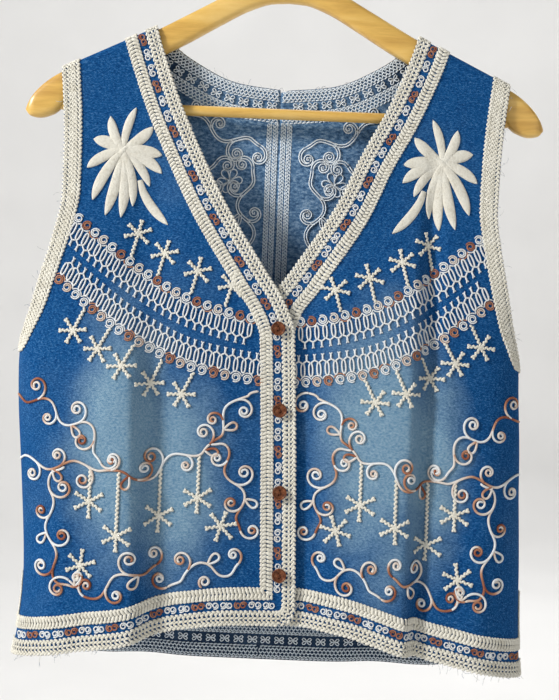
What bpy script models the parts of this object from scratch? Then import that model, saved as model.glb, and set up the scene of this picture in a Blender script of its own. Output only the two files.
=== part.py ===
"""Sleeveless V-neck denim vest with crochet-look trims, buttoned up on a wooden clothes hanger.

Metres, +Z up. The origin is the inside top of the hook, where a rail carries it. +X is the
viewer's right when facing the front, which faces -Y. Tables are in millimetres: "drop" is the
distance below the origin, and "a" is the distance from the middle towards a piece's own side.
"""
import math

import bmesh
import bpy
import numpy as np
from mathutils import Vector
from mathutils.bvhtree import BVHTree

MM = 0.001

# Cloth
CLOTH = 1.6
TRIM = 1.6
LIFT = 0.3
SEAM_GAP = 0.4
BAND_END_GAP = 0.7

# Shoulder seam, a straight slope over the hanger
NECK_HALF = 112.5
NECK_DROP = 112.0
SHOULDER_HALF = 191.7
SHOULDER_DROP = 150.5
SEAM_SLOPE = (SHOULDER_DROP - NECK_DROP) / (SHOULDER_HALF - NECK_HALF)

# Border: outer band, denim strip for the rosettes, inner band
BORDER = (0.0, 10.5, 18.5, 29.0)
FRONT_HEM_BORDER = (31.0, 21.0, 12.0, 0.0)
BACK_HEM_BORDER = (34.0, 23.0, 13.0, 0.0)
ARMHOLE_BAND = (16.0, 11.0, 5.0, 0.0)
SIDE_TURN = (16.0, 4.0, 0.6, 0.0)
CENTRE_BACK_BAND = 9.0
CORNER_RADIUS = 15.0
CENTRE_BACK_X = -4.0

# How far the under front passes behind the upper one at the placket
TUCK = 4.8
TUCK_FROM = 27.0
TUCK_TO = 55.0
TUCK_DROP_FROM = 240.0
TUCK_DROP_TO = 300.0

# Rows follow the shoulder seam at first, then level out
SHOULDER_ROWS = (0.0, 0.1, 1.5, 4.5, 12.0, 27.0)
NECK_STRIP_SHARES = (0.25, 0.4, 0.55, 0.7, 0.85, 1.0)
CENTRE_BAND_ROWS = 16
FRONT_ROW_STEP = 27.0
BACK_ROW_STEP = 32.0
FRONT_MIDDLE_COLUMNS = 12
BACK_MIDDLE_COLUMNS = 9

ARMHOLE_FOOT = 396.0
SLIT_TOP = 587.0
SLIT_OPEN = 8.0
BACK_HEM_DROP = 665.0
SWAY_FULL_DROP = 230.0

# The side bands run a little past the armhole's foot and the slit's top
ARMHOLE_BAND_OVER = 12.0
SLIT_BAND_OVER = 15.0
SIDE_TURN_REACH = 60.0
LEAST_LEAN = 0.5
BAND_CLEAR = 1.0

# The flanks turn back to the side seam over the outer part of the half width
FLANK_FROM = 0.55
FLANK_POWER = 4
CLOSING_FROM = 200.0
CLOSING_TO = 388.0
# Share of the height over which the rows take on the hem's curve
HEM_CURVE_FROM = 0.55
HEM_CURVE_TO = 0.92

# drop, x of the upper front's edge, x of the under front's edge
FRONT_EDGE = (
    (112.0, -112.5, 112.5),
    (132.0, -106.0, 106.0),
    (175.0, -90.0, 88.5),
    (218.0, -70.0, 66.5),
    (257.0, -50.0, 49.5),
    (319.0, -10.5, 10.5),
    (344.0, 6.0, -6.0),
    (368.0, 15.5, -12.5),
    (385.0, 16.8, -13.0),
    (582.0, 25.0, -5.0),
    (613.0, 26.0, -4.0),
)
# drop, half width of the vest at the armhole and the side
OUTLINE = (
    (150.5, 191.7),
    (198.0, 187.0),
    (230.0, 185.3),
    (263.5, 184.5),
    (295.5, 189.2),
    (330.0, 197.1),
    (361.0, 204.7),
    (387.5, 213.0),
    (396.0, 214.6),
    (445.0, 215.0),
    (505.0, 213.5),
    (592.0, 212.5),
    (620.0, 213.5),
    (665.0, 218.0),
)
# drop, x of the middle of the vest, which sways a little on the hanger
SWAY = (
    (112.0, 0.0),
    (265.0, -1.0),
    (396.0, -4.5),
    (485.0, 0.0),
    (592.0, 5.0),
    (665.0, 3.0),
)
# distance from the middle, drop of the front hem
FRONT_HEM = (
    (0.0, 612.5),
    (30.0, 613.0),
    (70.0, 618.0),
    (90.0, 623.0),
    (114.0, 630.0),
    (150.0, 637.0),
    (190.0, 645.5),
    (225.0, 652.5),
)
# distance from the middle, drop of the back neck
BACK_NECK = (
    (0.0, 158.5),
    (40.0, 154.0),
    (83.0, 135.0),
    (112.5, 112.0),
)
# distance below the seam, how far the cloth stands out over the hanger arm
SHOULDER_WRAP = (
    (0.0, 0.4),
    (0.1, 4.0),
    (1.5, 7.0),
    (4.5, 8.3),
)
# drop, how much further the front and the back stand out
FULLNESS = (
    (112.0, 0.0, 0.0),
    (150.0, 0.4, 3.4),
    (235.0, 6.0, 11.0),
    (335.0, 18.0, 20.0),
    (435.0, 26.0, 27.0),
    (535.0, 30.0, 31.0),
    (665.0, 34.0, 35.0),
)
# Creases: x at the top, x at the hem, drop where it starts, drop where it is full, drop where it
# starts to fade, height outwards, spread towards -X, spread towards +X
CREASE_FADE = 90.0
RIGHT_FRONT_CREASES = (
    (-121.0, -109.0, 330.0, 440.0, 900.0, 13.0, 42.0, 18.0),
    (-110.0, -110.0, 190.0, 260.0, 310.0, -4.0, 20.0, 20.0),
    (6.0, 12.0, 360.0, 430.0, 900.0, -5.0, 45.0, 45.0),
    (-176.0, -168.0, 420.0, 500.0, 900.0, 4.0, 18.0, 18.0),
)
LEFT_FRONT_CREASES = (
    (112.0, 109.0, 230.0, 400.0, 900.0, 9.0, 38.0, 12.0),
    (128.0, 125.0, 180.0, 330.0, 900.0, -7.0, 11.0, 14.0),
    (6.0, 12.0, 360.0, 430.0, 900.0, -5.0, 45.0, 45.0),
    (182.0, 176.0, 420.0, 500.0, 900.0, 4.0, 18.0, 18.0),
)
BACK_CREASES = (
    (-100.0, -106.0, 250.0, 400.0, 900.0, 7.0, 32.0, 26.0),
    (96.0, 102.0, 250.0, 400.0, 900.0, 7.0, 26.0, 32.0),
    (-160.0, -164.0, 330.0, 450.0, 900.0, -4.0, 20.0, 18.0),
    (158.0, 162.0, 330.0, 450.0, 900.0, -4.0, 18.0, 20.0),
)

# Buttons
BUTTON_DIAMETER = 11.9
BUTTON_THICK = 2.6
BUTTON_RIM = 1.3
BUTTON_HOLE = 1.7
BUTTON_HOLE_SPREAD = 1.7
BUTTON_FIRST_DROP = 367.5
BUTTON_PITCH = 67.8
BUTTON_COUNT = 4
BUTTON_FROM_EDGE = 13.2
BUTTON_DISH = 0.62
BUTTON_SHOULDER = 0.6
BUTTON_CHAMFER = 0.5
BUTTON_UNDERCUT = 0.7
BUTTON_SIDES = 16
BUTTON_HOLE_SIDES = 6
BUTTON_CLEAR = 0.5

# Padded leaf sprays on the shoulders: angle from straight up towards the side, petal length
SPRAY_DROP = 221.0
SPRAY_HALF = 135.5
SPRAY_PETALS = (
    (-138.0, 37.0),
    (-117.0, 36.0),
    (-94.0, 29.0),
    (-46.0, 29.0),
    (-12.0, 38.0),
    (24.0, 30.0),
    (74.0, 27.0),
    (120.0, 34.0),
    (154.0, 49.0),
    (170.0, 58.0),
    (184.0, 57.0),
    (196.0, 48.0),
)
SPRAY_HUB = 8.0
PETAL_HALF = 3.8
PETAL_WIDEST = 0.6
PETAL_CREST = 0.5
PETAL_NOTCH = 0.33
PETAL_SPREAD = 0.42
SPRAY_EDGE = 0.8
SPRAY_HEIGHT = 2.6
SPRAY_LIFT = 0.5

# Curved leaf under each spray: distance from the middle, drop, half width
CURVED_LEAF = (
    (118.0, 262.0, 0.8),
    (113.0, 267.5, 3.2),
    (107.0, 274.5, 4.0),
    (100.5, 281.0, 3.0),
    (94.5, 285.5, 0.8),
)
LEAF_HALF = 4.0

# Where rays onto the cloth start, in metres, and how far apart they probe its slope
RAY_START = 0.2
SLOPE_PROBE = 8.0

# Hanger
ARM_HALF_THICK = 6.0
ARM_CLEAR = 2.3
ARM_DEPTH = 22.0
CROWN_DROP = 62.0
ARM_BEVEL = 2.5
ARM_BEVEL_ANGLE = 40
BAR_DIAMETER = 9.0
BAR_DROP = 182.0
BAR_HALF = 201.0
BAR_SIDES = 14
SOCKET_CLEAR = 0.35
SOCKET_DEEP = 1.0
HOOK_WIRE = 3.6
HOOK_RADIUS = 21.8
HOOK_SEAT = 16.0
HOOK_SEAT_SIDES = 10
# The hook's arc in degrees, then its tail: distance from the stem, drop below the arc's middle
HOOK_ARC = (195, -45, -15)
HOOK_TAIL = ((9.5, 21.5), (3.2, 25.5), (0.4, 30.5), (0.0, 35.0))
# distance from the middle, drop of the arm's top edge, drop of its bottom edge
ARM_OUTLINE = (
    (0.0, 62.0, 86.0),
    (14.0, 63.0, 87.0),
    (32.0, 70.0, 93.0),
    (60.0, 85.5, 108.5),
    (85.0, 99.5, 123.5),
    (112.5, 114.6, 138.5),
    (150.0, 132.8, 157.0),
    (186.0, 150.3, 178.5),
    (199.0, 157.5, 190.0),
    (211.0, 167.5, 193.5),
    (219.0, 178.0, 192.0),
    (222.5, 185.5, 188.0),
)

DENIM = ("denim", (0.030, 0.100, 0.330), 0.85, 0.0)
DENIM_BACK = ("denim_back", (0.035, 0.110, 0.340), 0.85, 0.0)
CREAM = ("cream_trim", (0.720, 0.680, 0.560), 0.90, 0.0)
ECRU = ("ecru_applique", (0.700, 0.650, 0.500), 0.90, 0.0)
BROWN = ("button_brown", (0.130, 0.030, 0.015), 0.35, 0.0)
WOOD = ("hanger_wood", (0.680, 0.400, 0.150), 0.45, 0.0)
METAL = ("hook_metal", (0.600, 0.600, 0.600), 0.30, 1.0)


def clear_scene():
    for item in list(bpy.data.objects):
        bpy.data.objects.remove(item, do_unlink=True)


def new_collection(name):
    collection = bpy.data.collections.new(name)
    bpy.context.scene.collection.children.link(collection)
    return collection


def material(look):
    name, colour, roughness, metallic = look
    found = bpy.data.materials.get(name)
    if found:
        return found
    made = bpy.data.materials.new(name)
    made.use_nodes = True
    shader = made.node_tree.nodes["Principled BSDF"]
    shader.inputs["Base Color"].default_value = (*colour, 1.0)
    shader.inputs["Roughness"].default_value = roughness
    shader.inputs["Metallic"].default_value = metallic
    return made


def add_object(name, mesh, look, collection):
    item = bpy.data.objects.new(name, mesh)
    item.data.materials.append(material(look))
    collection.objects.link(item)
    return item


def smooth_read(table, column, at):
    """Read one column of a table on a smooth curve that keeps the table's rises and falls."""
    rows = np.array(table)
    x = rows[:, 0]
    y = rows[:, column]
    step = np.diff(x)
    slope = np.diff(y) / step
    tangent = np.zeros(len(x))
    for i in range(1, len(x) - 1):
        if slope[i - 1] * slope[i] > 0:
            w1 = 2 * step[i] + step[i - 1]
            w2 = step[i] + 2 * step[i - 1]
            tangent[i] = (w1 + w2) / (w1 / slope[i - 1] + w2 / slope[i])
    tangent[0] = slope[0]
    tangent[-1] = slope[-1]
    at = np.clip(at, x[0], x[-1])
    k = min(int(np.searchsorted(x, at, side="right")) - 1, len(x) - 2)
    t = (at - x[k]) / step[k]
    h00 = (1 + 2 * t) * (1 - t) ** 2
    h10 = t * (1 - t) ** 2
    h01 = t * t * (3 - 2 * t)
    h11 = t * t * (t - 1)
    return float(h00 * y[k] + h10 * step[k] * tangent[k] + h01 * y[k + 1]
                 + h11 * step[k] * tangent[k + 1])


def ease(start, end, at):
    t = min(max((at - start) / (end - start), 0.0), 1.0)
    return t * t * (3 - 2 * t)


def seam_drop(a):
    return NECK_DROP + SEAM_SLOPE * (a - NECK_HALF)


def crease_height(creases, x, drop):
    """Sum of the creases at a point, positive outwards."""
    total = 0.0
    for x_top, x_hem, start, full, fade, height, spread_minus, spread_plus in creases:
        along = ease(start, full, drop) * (1.0 - ease(fade, fade + CREASE_FADE, drop))
        middle = x_top + (x_hem - x_top) * ease(start, BACK_HEM_DROP, drop)
        spread = spread_minus if x < middle else spread_plus
        total += height * along * math.exp(-((x - middle) / spread) ** 2)
    return total


def stand_out(piece, x, drop):
    """Distance of the outer face of the cloth from the plane of the side seams."""
    a = piece["side"] * x
    wrap = np.interp(drop - seam_drop(a), *zip(*SHOULDER_WRAP))
    middle = smooth_read(SWAY, 1, drop)
    reach = smooth_read(OUTLINE, 1, max(drop, ARMHOLE_FOOT))
    across = (abs(x - middle) / reach - FLANK_FROM) / (1.0 - FLANK_FROM)
    round_off = math.sqrt(max(0.0, 1.0 - max(0.0, min(across, 1.0)) ** FLANK_POWER))
    closing = ease(CLOSING_FROM, CLOSING_TO, drop)
    share = 1.0 - closing * (1.0 - round_off)
    edge = SEAM_GAP + SLIT_OPEN * max(0.0, drop - SLIT_TOP) / (BACK_HEM_DROP - SLIT_TOP)
    full = wrap + smooth_read(FULLNESS, piece["fullness"], drop)
    full += crease_height(piece["creases"], x, drop)
    if piece["tucked"]:
        under = 1.0 - ease(TUCK_FROM, TUCK_TO, x)
        full -= TUCK * under * ease(TUCK_DROP_FROM, TUCK_DROP_TO, drop)
    return edge * (1.0 - share) + full * share


def surface_point(piece, x, drop):
    return Vector((x * MM, piece["facing"] * stand_out(piece, x, drop) * MM, -drop * MM))


def inner_path(piece):
    """Neck and placket edge of a front, or neck and centre-back edge of a back, from the top."""
    if piece["facing"] < 0:
        column = 1 if piece["side"] < 0 else 2
        drops = np.linspace(NECK_DROP, FRONT_EDGE[-1][0], 400)
        return [(piece["side"] * smooth_read(FRONT_EDGE, column, d), d) for d in drops]
    start = piece["side"] * CENTRE_BACK_X + SEAM_GAP / 2
    neck = [(a, smooth_read(BACK_NECK, 1, abs(a))) for a in np.linspace(NECK_HALF, start, 160)]
    down = [(start, d) for d in np.linspace(neck[-1][1] + 1.0, BACK_HEM_DROP, 300)]
    return neck + down


def outer_path(piece):
    """Armhole and side edge, from the shoulder to the hem."""
    points = []
    for drop in np.linspace(SHOULDER_DROP, OUTLINE[-1][0], 500):
        sway = smooth_read(SWAY, 1, drop)
        swayed = piece["side"] * sway * ease(SHOULDER_DROP, SWAY_FULL_DROP, drop)
        points.append((swayed + smooth_read(OUTLINE, 1, drop), drop))
    return points


def hem_drop(piece, a):
    if piece["facing"] > 0:
        return BACK_HEM_DROP
    return smooth_read(FRONT_HEM, 1, abs(a))


def cut_at_hem(piece, path):
    return [point for point in path if point[1] <= hem_drop(piece, point[0]) + 0.01]


def reader(path):
    """Turn a path into a function of the distance below the shoulder seam."""
    points = np.array(path)
    below = points[:, 1] - np.array([seam_drop(a) for a in points[:, 0]])
    tangent = np.gradient(points, axis=0)
    tangent /= np.linalg.norm(tangent, axis=1)[:, None]

    def read(d):
        place = np.array([np.interp(d, below, points[:, 0]), np.interp(d, below, points[:, 1])])
        along = np.array([np.interp(d, below, tangent[:, 0]), np.interp(d, below, tangent[:, 1])])
        return place, along / np.linalg.norm(along)

    return read, float(below[-1])


def row_pairs(piece, inner_end, outer_end):
    """Distances below the seam at the inner and outer end of each row."""
    first = SHOULDER_ROWS[-1]
    hem = piece["hem_border"]
    last_in = inner_end - hem[0]
    last_out = outer_end - hem[0]
    count = int(round((last_out - first) / piece["row_step"]))
    pairs = [(d, d) for d in SHOULDER_ROWS]
    for k in range(1, count + 1):
        share = k / count
        pairs.append((first + (last_in - first) * share, first + (last_out - first) * share))
    pairs += [(inner_end - offset, outer_end - offset) for offset in hem[1:]]
    return pairs


def flat_grid(piece):
    """The panel's grid as (a, drop) points, rows from the shoulder to the hem."""
    read_inner, inner_end = reader(cut_at_hem(piece, inner_path(piece)))
    read_outer, outer_end = reader(cut_at_hem(piece, outer_path(piece)))
    pairs = row_pairs(piece, inner_end, outer_end)
    grid = []
    for number, (d_in, d_out) in enumerate(pairs):
        start, edge_along = read_inner(d_in)
        end, side_along = read_outer(d_out)
        row_along = (end - start) / np.linalg.norm(end - start)
        edge_lean = abs(row_along[0] * edge_along[1] - row_along[1] * edge_along[0])
        side_lean = abs(row_along[0] * side_along[1] - row_along[1] * side_along[0])
        turned = ease(ARMHOLE_FOOT - SIDE_TURN_REACH, ARMHOLE_FOOT, end[1])
        row = []
        for offset in piece["border"]:
            row.append(start + row_along * offset / edge_lean)
        tail = []
        for above, below in zip(ARMHOLE_BAND, SIDE_TURN):
            offset = above + (below - above) * turned
            tail.append(end - row_along * offset / max(side_lean, LEAST_LEAN))
        for k in range(1, piece["middle_columns"] + 1):
            share = k / (piece["middle_columns"] + 1)
            row.append(row[len(piece["border"]) - 1] * (1 - share) + tail[0] * share)
        row += tail
        share_down = d_out / outer_end
        chord_start = hem_drop(piece, start[0])
        chord_end = hem_drop(piece, end[0])
        for point in row:
            part = (point[0] - start[0]) / (end[0] - start[0])
            chord = chord_start + (chord_end - chord_start) * part
            curved = ease(HEM_CURVE_FROM, HEM_CURVE_TO, share_down)
            point[1] += curved * (hem_drop(piece, point[0]) - chord)
        grid.append(row)
    if piece["facing"] < 0:
        round_corner(grid)
    return grid


def round_corner(grid):
    """Round the corner between the placket and the hem."""
    reach = CORNER_RADIUS
    corner = reach * (1 - math.sqrt(0.5))
    near = reach - math.sqrt(reach ** 2 - (reach - BORDER[1]) ** 2)
    grid[-1][0] = grid[-1][0] + np.array((corner, -corner))
    grid[-1][1] = grid[-1][1] + np.array((0.0, -near))
    grid[-2][0] = grid[-2][0] + np.array((near, 0.0))


def panel_points(piece):
    grid = flat_grid(piece)
    return [[surface_point(piece, piece["side"] * a, drop) for a, drop in row] for row in grid]


def cells_mesh(name, points, cells, flip):
    """Open mesh of the chosen cells of a grid of points."""
    mesh = bmesh.new()
    used = {}

    def vertex(i, j):
        if (i, j) not in used:
            used[(i, j)] = mesh.verts.new(points[i][j])
        return used[(i, j)]

    for i, j in cells:
        corners = [vertex(i, j), vertex(i, j + 1), vertex(i + 1, j + 1), vertex(i + 1, j)]
        if flip:
            corners.reverse()
        mesh.faces.new(corners)
    bmesh.ops.triangulate(mesh, faces=mesh.faces[:], quad_method="SHORT_EDGE")
    data = bpy.data.meshes.new(name)
    mesh.to_mesh(data)
    mesh.free()
    return data


def grid_normals(points, flip):
    """Outward normal at each point of a grid, from its neighbours."""
    rows = len(points)
    columns = len(points[0])
    normals = []
    for i in range(rows):
        line = []
        for j in range(columns):
            down = points[min(i + 1, rows - 1)][j] - points[max(i - 1, 0)][j]
            across = points[i][min(j + 1, columns - 1)] - points[i][max(j - 1, 0)]
            normal = down.cross(across).normalized()
            line.append(-normal if flip else normal)
        normals.append(line)
    return normals


def moved_out(points, normals, distance):
    return [[p + n * distance * MM for p, n in zip(row, line)]
            for row, line in zip(points, normals)]


def solidify(item, thick, outwards):
    wall = item.modifiers.new("Wall", "SOLIDIFY")
    wall.thickness = thick * MM
    wall.offset = 1.0 if outwards else -1.0
    wall.use_even_offset = False
    return item


def facing_flip(piece):
    return piece["side"] * piece["facing"] < 0


def build_panel(piece, points, collection):
    rows = len(points) - 1
    columns = len(points[0]) - 1
    cells = [(i, j) for i in range(rows) for j in range(columns)]
    flip = facing_flip(piece)
    mesh = cells_mesh(piece["name"], points, cells, flip)
    look = DENIM if piece["facing"] < 0 else DENIM_BACK
    return solidify(add_object(piece["name"], mesh, look, collection), CLOTH, False)


def build_band(name, points, cells, piece, collection):
    """A trim made of the panel's own cells, moved out."""
    flip = facing_flip(piece)
    lifted = moved_out(points, grid_normals(points, not flip), LIFT)
    mesh = cells_mesh(name, lifted, cells, flip)
    return solidify(add_object(name, mesh, CREAM, collection), TRIM, True)


def rows_between(grid, top, bottom):
    """Rows of cells whose outer ends lie between two drops."""
    return [i for i in range(len(grid) - 1)
            if grid[i][-1][1] >= top - 0.5 and grid[i + 1][-1][1] <= bottom + 0.5]


def build_front(piece, collection):
    grid = flat_grid(piece)
    points = panel_points(piece)
    build_panel(piece, points, collection)
    rows = len(points) - 1
    columns = len(points[0]) - 1
    name = piece["name"]
    edge = [(i, 0) for i in range(rows)] + [(rows - 1, j) for j in range(1, columns)]
    build_band(name + "_edge_band", points, edge, piece, collection)
    inner = [(i, 2) for i in range(rows - 2)] + [(rows - 3, j) for j in range(3, columns)]
    build_band(name + "_inner_band", points, inner, piece, collection)
    build_side_bands(piece, grid, points, collection)
    return points


def build_side_bands(piece, grid, points, collection):
    columns = len(points[0]) - 1
    armhole = rows_between(grid, SHOULDER_DROP, ARMHOLE_FOOT + ARMHOLE_BAND_OVER)
    cells = [(i, j) for i in armhole for j in range(columns - 3, columns)]
    build_band(piece["name"] + "_armhole_band", points, cells, piece, collection)
    slit = [i for i in range(len(grid) - 4) if grid[i][-1][1] >= SLIT_TOP - SLIT_BAND_OVER]
    cells = [(i, j) for i in slit for j in range(columns - 2, columns)]
    shortened = [row[:] for row in points]
    last = slit[-1] + 1
    for j, point in enumerate(points[last]):
        upwards = (points[last - 1][j] - point).normalized()
        shortened[last][j] = point + upwards * BAND_END_GAP * MM
    build_band(piece["name"] + "_slit_band", shortened, cells, piece, collection)


def offset_point(path, offset, place):
    """Point at a share of a path's length, moved into the panel."""
    points = np.array(path)
    length = np.concatenate(([0.0], np.cumsum(np.linalg.norm(np.diff(points, axis=0), axis=1))))
    at = place * length[-1]
    x = np.interp(at, length, points[:, 0])
    y = np.interp(at, length, points[:, 1])
    ahead = np.array([np.interp(at + 1.0, length, points[:, k]) for k in range(2)])
    behind = np.array([np.interp(at - 1.0, length, points[:, k]) for k in range(2)])
    tangent = (ahead - behind) / np.linalg.norm(ahead - behind)
    return np.array((x + tangent[1] * offset, y - tangent[0] * offset))


def neck_strip(piece, near, far):
    """Grid of a back neck band: rows follow the shoulder seam first, then the neck curve."""
    start = piece["side"] * CENTRE_BACK_X + SEAM_GAP / 2
    path = [(a, smooth_read(BACK_NECK, 1, abs(a))) for a in np.linspace(NECK_HALF, start, 200)]
    read_neck, _ = reader(path)
    rows = []
    for d in SHOULDER_ROWS[:-1]:
        place, along = read_neck(d)
        row_along = np.array((1.0, SEAM_SLOPE)) / math.hypot(1.0, SEAM_SLOPE)
        lean = abs(row_along[0] * along[1] - row_along[1] * along[0])
        rows.append([place + row_along * offset / lean for offset in (near, far)])
    for share in NECK_STRIP_SHARES:
        rows.append([offset_point(path, offset, share) for offset in (near, far)])
    for point in rows[-1]:
        point[0] = start
    return rows


def build_back(piece, collection):
    grid = flat_grid(piece)
    points = panel_points(piece)
    build_panel(piece, points, collection)
    rows = len(points) - 1
    columns = len(points[0]) - 1
    name = piece["name"]
    for label, near, far in (("_neck_band", BORDER[0], BORDER[1]),
                             ("_neck_inner_band", BORDER[2], BORDER[3])):
        strip = neck_strip(piece, near, far)
        strip_points = [[surface_point(piece, piece["side"] * a, drop) for a, drop in row]
                        for row in strip]
        cells = [(i, 0) for i in range(len(strip) - 1)]
        build_band(name + label, strip_points, cells, piece, collection)
    start = piece["side"] * CENTRE_BACK_X + SEAM_GAP / 2
    top = smooth_read(BACK_NECK, 1, abs(start)) + BORDER[3] + BAND_CLEAR
    bottom = BACK_HEM_DROP - BACK_HEM_BORDER[0] - BAND_CLEAR
    drops = np.linspace(top, bottom, CENTRE_BAND_ROWS)
    strip_points = [[surface_point(piece, piece["side"] * a, drop) for a in (start, start + CENTRE_BACK_BAND)]
                    for drop in drops]
    cells = [(i, 0) for i in range(len(drops) - 1)]
    build_band(name + "_centre_band", strip_points, cells, piece, collection)
    build_band(name + "_hem_band", points, [(rows - 1, j) for j in range(columns)], piece, collection)
    build_band(name + "_hem_inner_band", points, [(rows - 3, j) for j in range(columns)], piece,
               collection)
    build_side_bands(piece, grid, points, collection)
    return points


def surface_tree(piece, points):
    """Ray target on the outer facets of a panel."""
    columns = len(points[0])
    flat = [p for row in points for p in row]
    faces = []
    for i in range(len(points) - 1):
        for j in range(columns - 1):
            k = i * columns + j
            faces.append((k, k + 1, k + columns + 1))
            faces.append((k, k + columns + 1, k + columns))
    return BVHTree.FromPolygons(flat, faces)


def on_facets(tree, facing, x, drop, lift):
    start = Vector((x * MM, facing * RAY_START, -drop * MM))
    place, normal, _, _ = tree.ray_cast(start, Vector((0.0, -facing, 0.0)))
    if normal.y * facing < 0:
        normal = -normal
    return place + normal * lift * MM


def build_spray(piece, tree, collection):
    """Star of padded petals round a hub. Each petal has a raised crest over a plain underside."""
    side = piece["side"]
    count = len(SPRAY_PETALS)
    mesh = bmesh.new()

    def vertex(bearing, distance, height):
        x = side * (SPRAY_HALF + math.sin(bearing) * distance)
        drop = SPRAY_DROP - math.cos(bearing) * distance
        return mesh.verts.new(on_facets(tree, -1, x, drop, SPRAY_LIFT + height))

    outline = []
    crests = []
    for k, (angle, length) in enumerate(SPRAY_PETALS):
        before = SPRAY_PETALS[k - 1][0] - (360.0 if k == 0 else 0.0)
        after = SPRAY_PETALS[(k + 1) % count][0] + (360.0 if k == count - 1 else 0.0)
        heading = math.radians(angle)
        notch = math.radians((angle + before) / 2)
        gap = math.radians(min(angle - before, after - angle))
        spread = min(math.atan(PETAL_HALF / (length * PETAL_WIDEST)), gap * PETAL_SPREAD)
        crests.append(vertex(heading, length * PETAL_CREST, SPRAY_HEIGHT))
        shorter = min(length, SPRAY_PETALS[k - 1][1])
        outline.append((notch, max(SPRAY_HUB, shorter * PETAL_NOTCH)))
        outline.append((heading - spread, length * PETAL_WIDEST))
        outline.append((heading, length))
        outline.append((heading + spread, length * PETAL_WIDEST))
    low = [vertex(bearing, distance, 0.0) for bearing, distance in outline]
    high = [vertex(bearing, distance, SPRAY_EDGE) for bearing, distance in outline]
    hub_low = vertex(0.0, 0.0, 0.0)
    hub_high = vertex(0.0, 0.0, SPRAY_HEIGHT)
    total = len(outline)
    for k in range(total):
        n = (k + 1) % total
        mesh.faces.new((low[k], low[n], high[n], high[k]))
        mesh.faces.new((low[n], low[k], hub_low))
        mesh.faces.new((high[k], high[n], crests[k // 4]))
    for k, crest in enumerate(crests):
        mesh.faces.new((high[4 * k], crest, hub_high))
        mesh.faces.new((crest, high[(4 * k + 4) % total], hub_high))
    return finish_body(piece["name"] + "_spray", mesh, collection)


def finish_body(name, mesh, collection):
    bmesh.ops.triangulate(mesh, faces=mesh.faces[:])
    bmesh.ops.recalc_face_normals(mesh, faces=mesh.faces[:])
    data = bpy.data.meshes.new(name)
    mesh.to_mesh(data)
    mesh.free()
    return add_object(name, data, ECRU, collection)


def build_curved_leaf(piece, tree, collection):
    side = piece["side"]
    left = []
    right = []
    crest = []
    for k, (a, drop, half) in enumerate(CURVED_LEAF):
        before = CURVED_LEAF[max(k - 1, 0)]
        after = CURVED_LEAF[min(k + 1, len(CURVED_LEAF) - 1)]
        along = np.array((after[0] - before[0], after[1] - before[1]))
        along /= np.linalg.norm(along)
        left.append((side * (a - along[1] * half), drop + along[0] * half, SPRAY_EDGE))
        right.append((side * (a + along[1] * half), drop - along[0] * half, SPRAY_EDGE))
        crest.append((side * a, drop, SPRAY_EDGE + (SPRAY_HEIGHT - SPRAY_EDGE) * half / LEAF_HALF))
    mesh = bmesh.new()

    def row(points, base):
        return [mesh.verts.new(on_facets(tree, -1, x, drop, SPRAY_LIFT + (0.0 if base else h)))
                for x, drop, h in points]

    rings = [row(left, True), row(left, False), row(crest, False), row(right, False), row(right, True)]
    last = len(CURVED_LEAF) - 1
    for low, high in zip(rings, rings[1:] + rings[:1]):
        for k in range(last):
            mesh.faces.new((low[k], low[k + 1], high[k + 1], high[k]))
    mesh.faces.new([ring[0] for ring in rings])
    mesh.faces.new([ring[last] for ring in rings][::-1])
    return finish_body(piece["name"] + "_leaf", mesh, collection)


def evaluated_mesh(item):
    graph = bpy.context.evaluated_depsgraph_get()
    graph.update()
    return bpy.data.meshes.new_from_object(item.evaluated_get(graph))


def cylinder_mesh(name, radius, depth, sides):
    mesh = bmesh.new()
    bmesh.ops.create_cone(mesh, cap_ends=True, segments=sides, radius1=radius * MM,
                          radius2=radius * MM, depth=depth * MM)
    data = bpy.data.meshes.new(name)
    mesh.to_mesh(data)
    mesh.free()
    return data


def add_cutter(name, mesh, collection):
    item = bpy.data.objects.new(name, mesh)
    item.hide_render = True
    item.display_type = "WIRE"
    collection.objects.link(item)
    return item


def cut_with(item, cutter):
    change = item.modifiers.new("Cut " + cutter.name, "BOOLEAN")
    change.operation = "DIFFERENCE"
    change.solver = "EXACT"
    change.object = cutter


def button_profile():
    """Half section of a rimmed button, from the outer side inwards over the top."""
    radius = BUTTON_DIAMETER / 2
    return (
        (0.0, BUTTON_THICK * BUTTON_DISH),
        (radius - BUTTON_RIM - BUTTON_CHAMFER, BUTTON_THICK * BUTTON_DISH),
        (radius - BUTTON_RIM, BUTTON_THICK),
        (radius - BUTTON_CHAMFER, BUTTON_THICK),
        (radius, BUTTON_THICK * BUTTON_SHOULDER),
        (radius - BUTTON_UNDERCUT, 0.0),
        (0.0, 0.0),
    )


def button_mesh():
    profile = button_profile()
    mesh = bmesh.new()
    rings = []
    for r, h in profile:
        if r == 0.0:
            rings.append([mesh.verts.new((0.0, 0.0, h * MM))])
            continue
        turns = [2 * math.pi * k / BUTTON_SIDES for k in range(BUTTON_SIDES)]
        rings.append([mesh.verts.new((r * math.cos(t) * MM, r * math.sin(t) * MM, h * MM)) for t in turns])
    for upper, lower in zip(rings, rings[1:]):
        for k in range(BUTTON_SIDES):
            n = (k + 1) % BUTTON_SIDES
            if len(upper) == 1:
                mesh.faces.new((upper[0], lower[k], lower[n]))
            elif len(lower) == 1:
                mesh.faces.new((upper[k], lower[0], upper[n]))
            else:
                mesh.faces.new((upper[k], lower[k], lower[n], upper[n]))
    bmesh.ops.recalc_face_normals(mesh, faces=mesh.faces[:])
    data = bpy.data.meshes.new("button")
    mesh.to_mesh(data)
    mesh.free()
    return data


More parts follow.
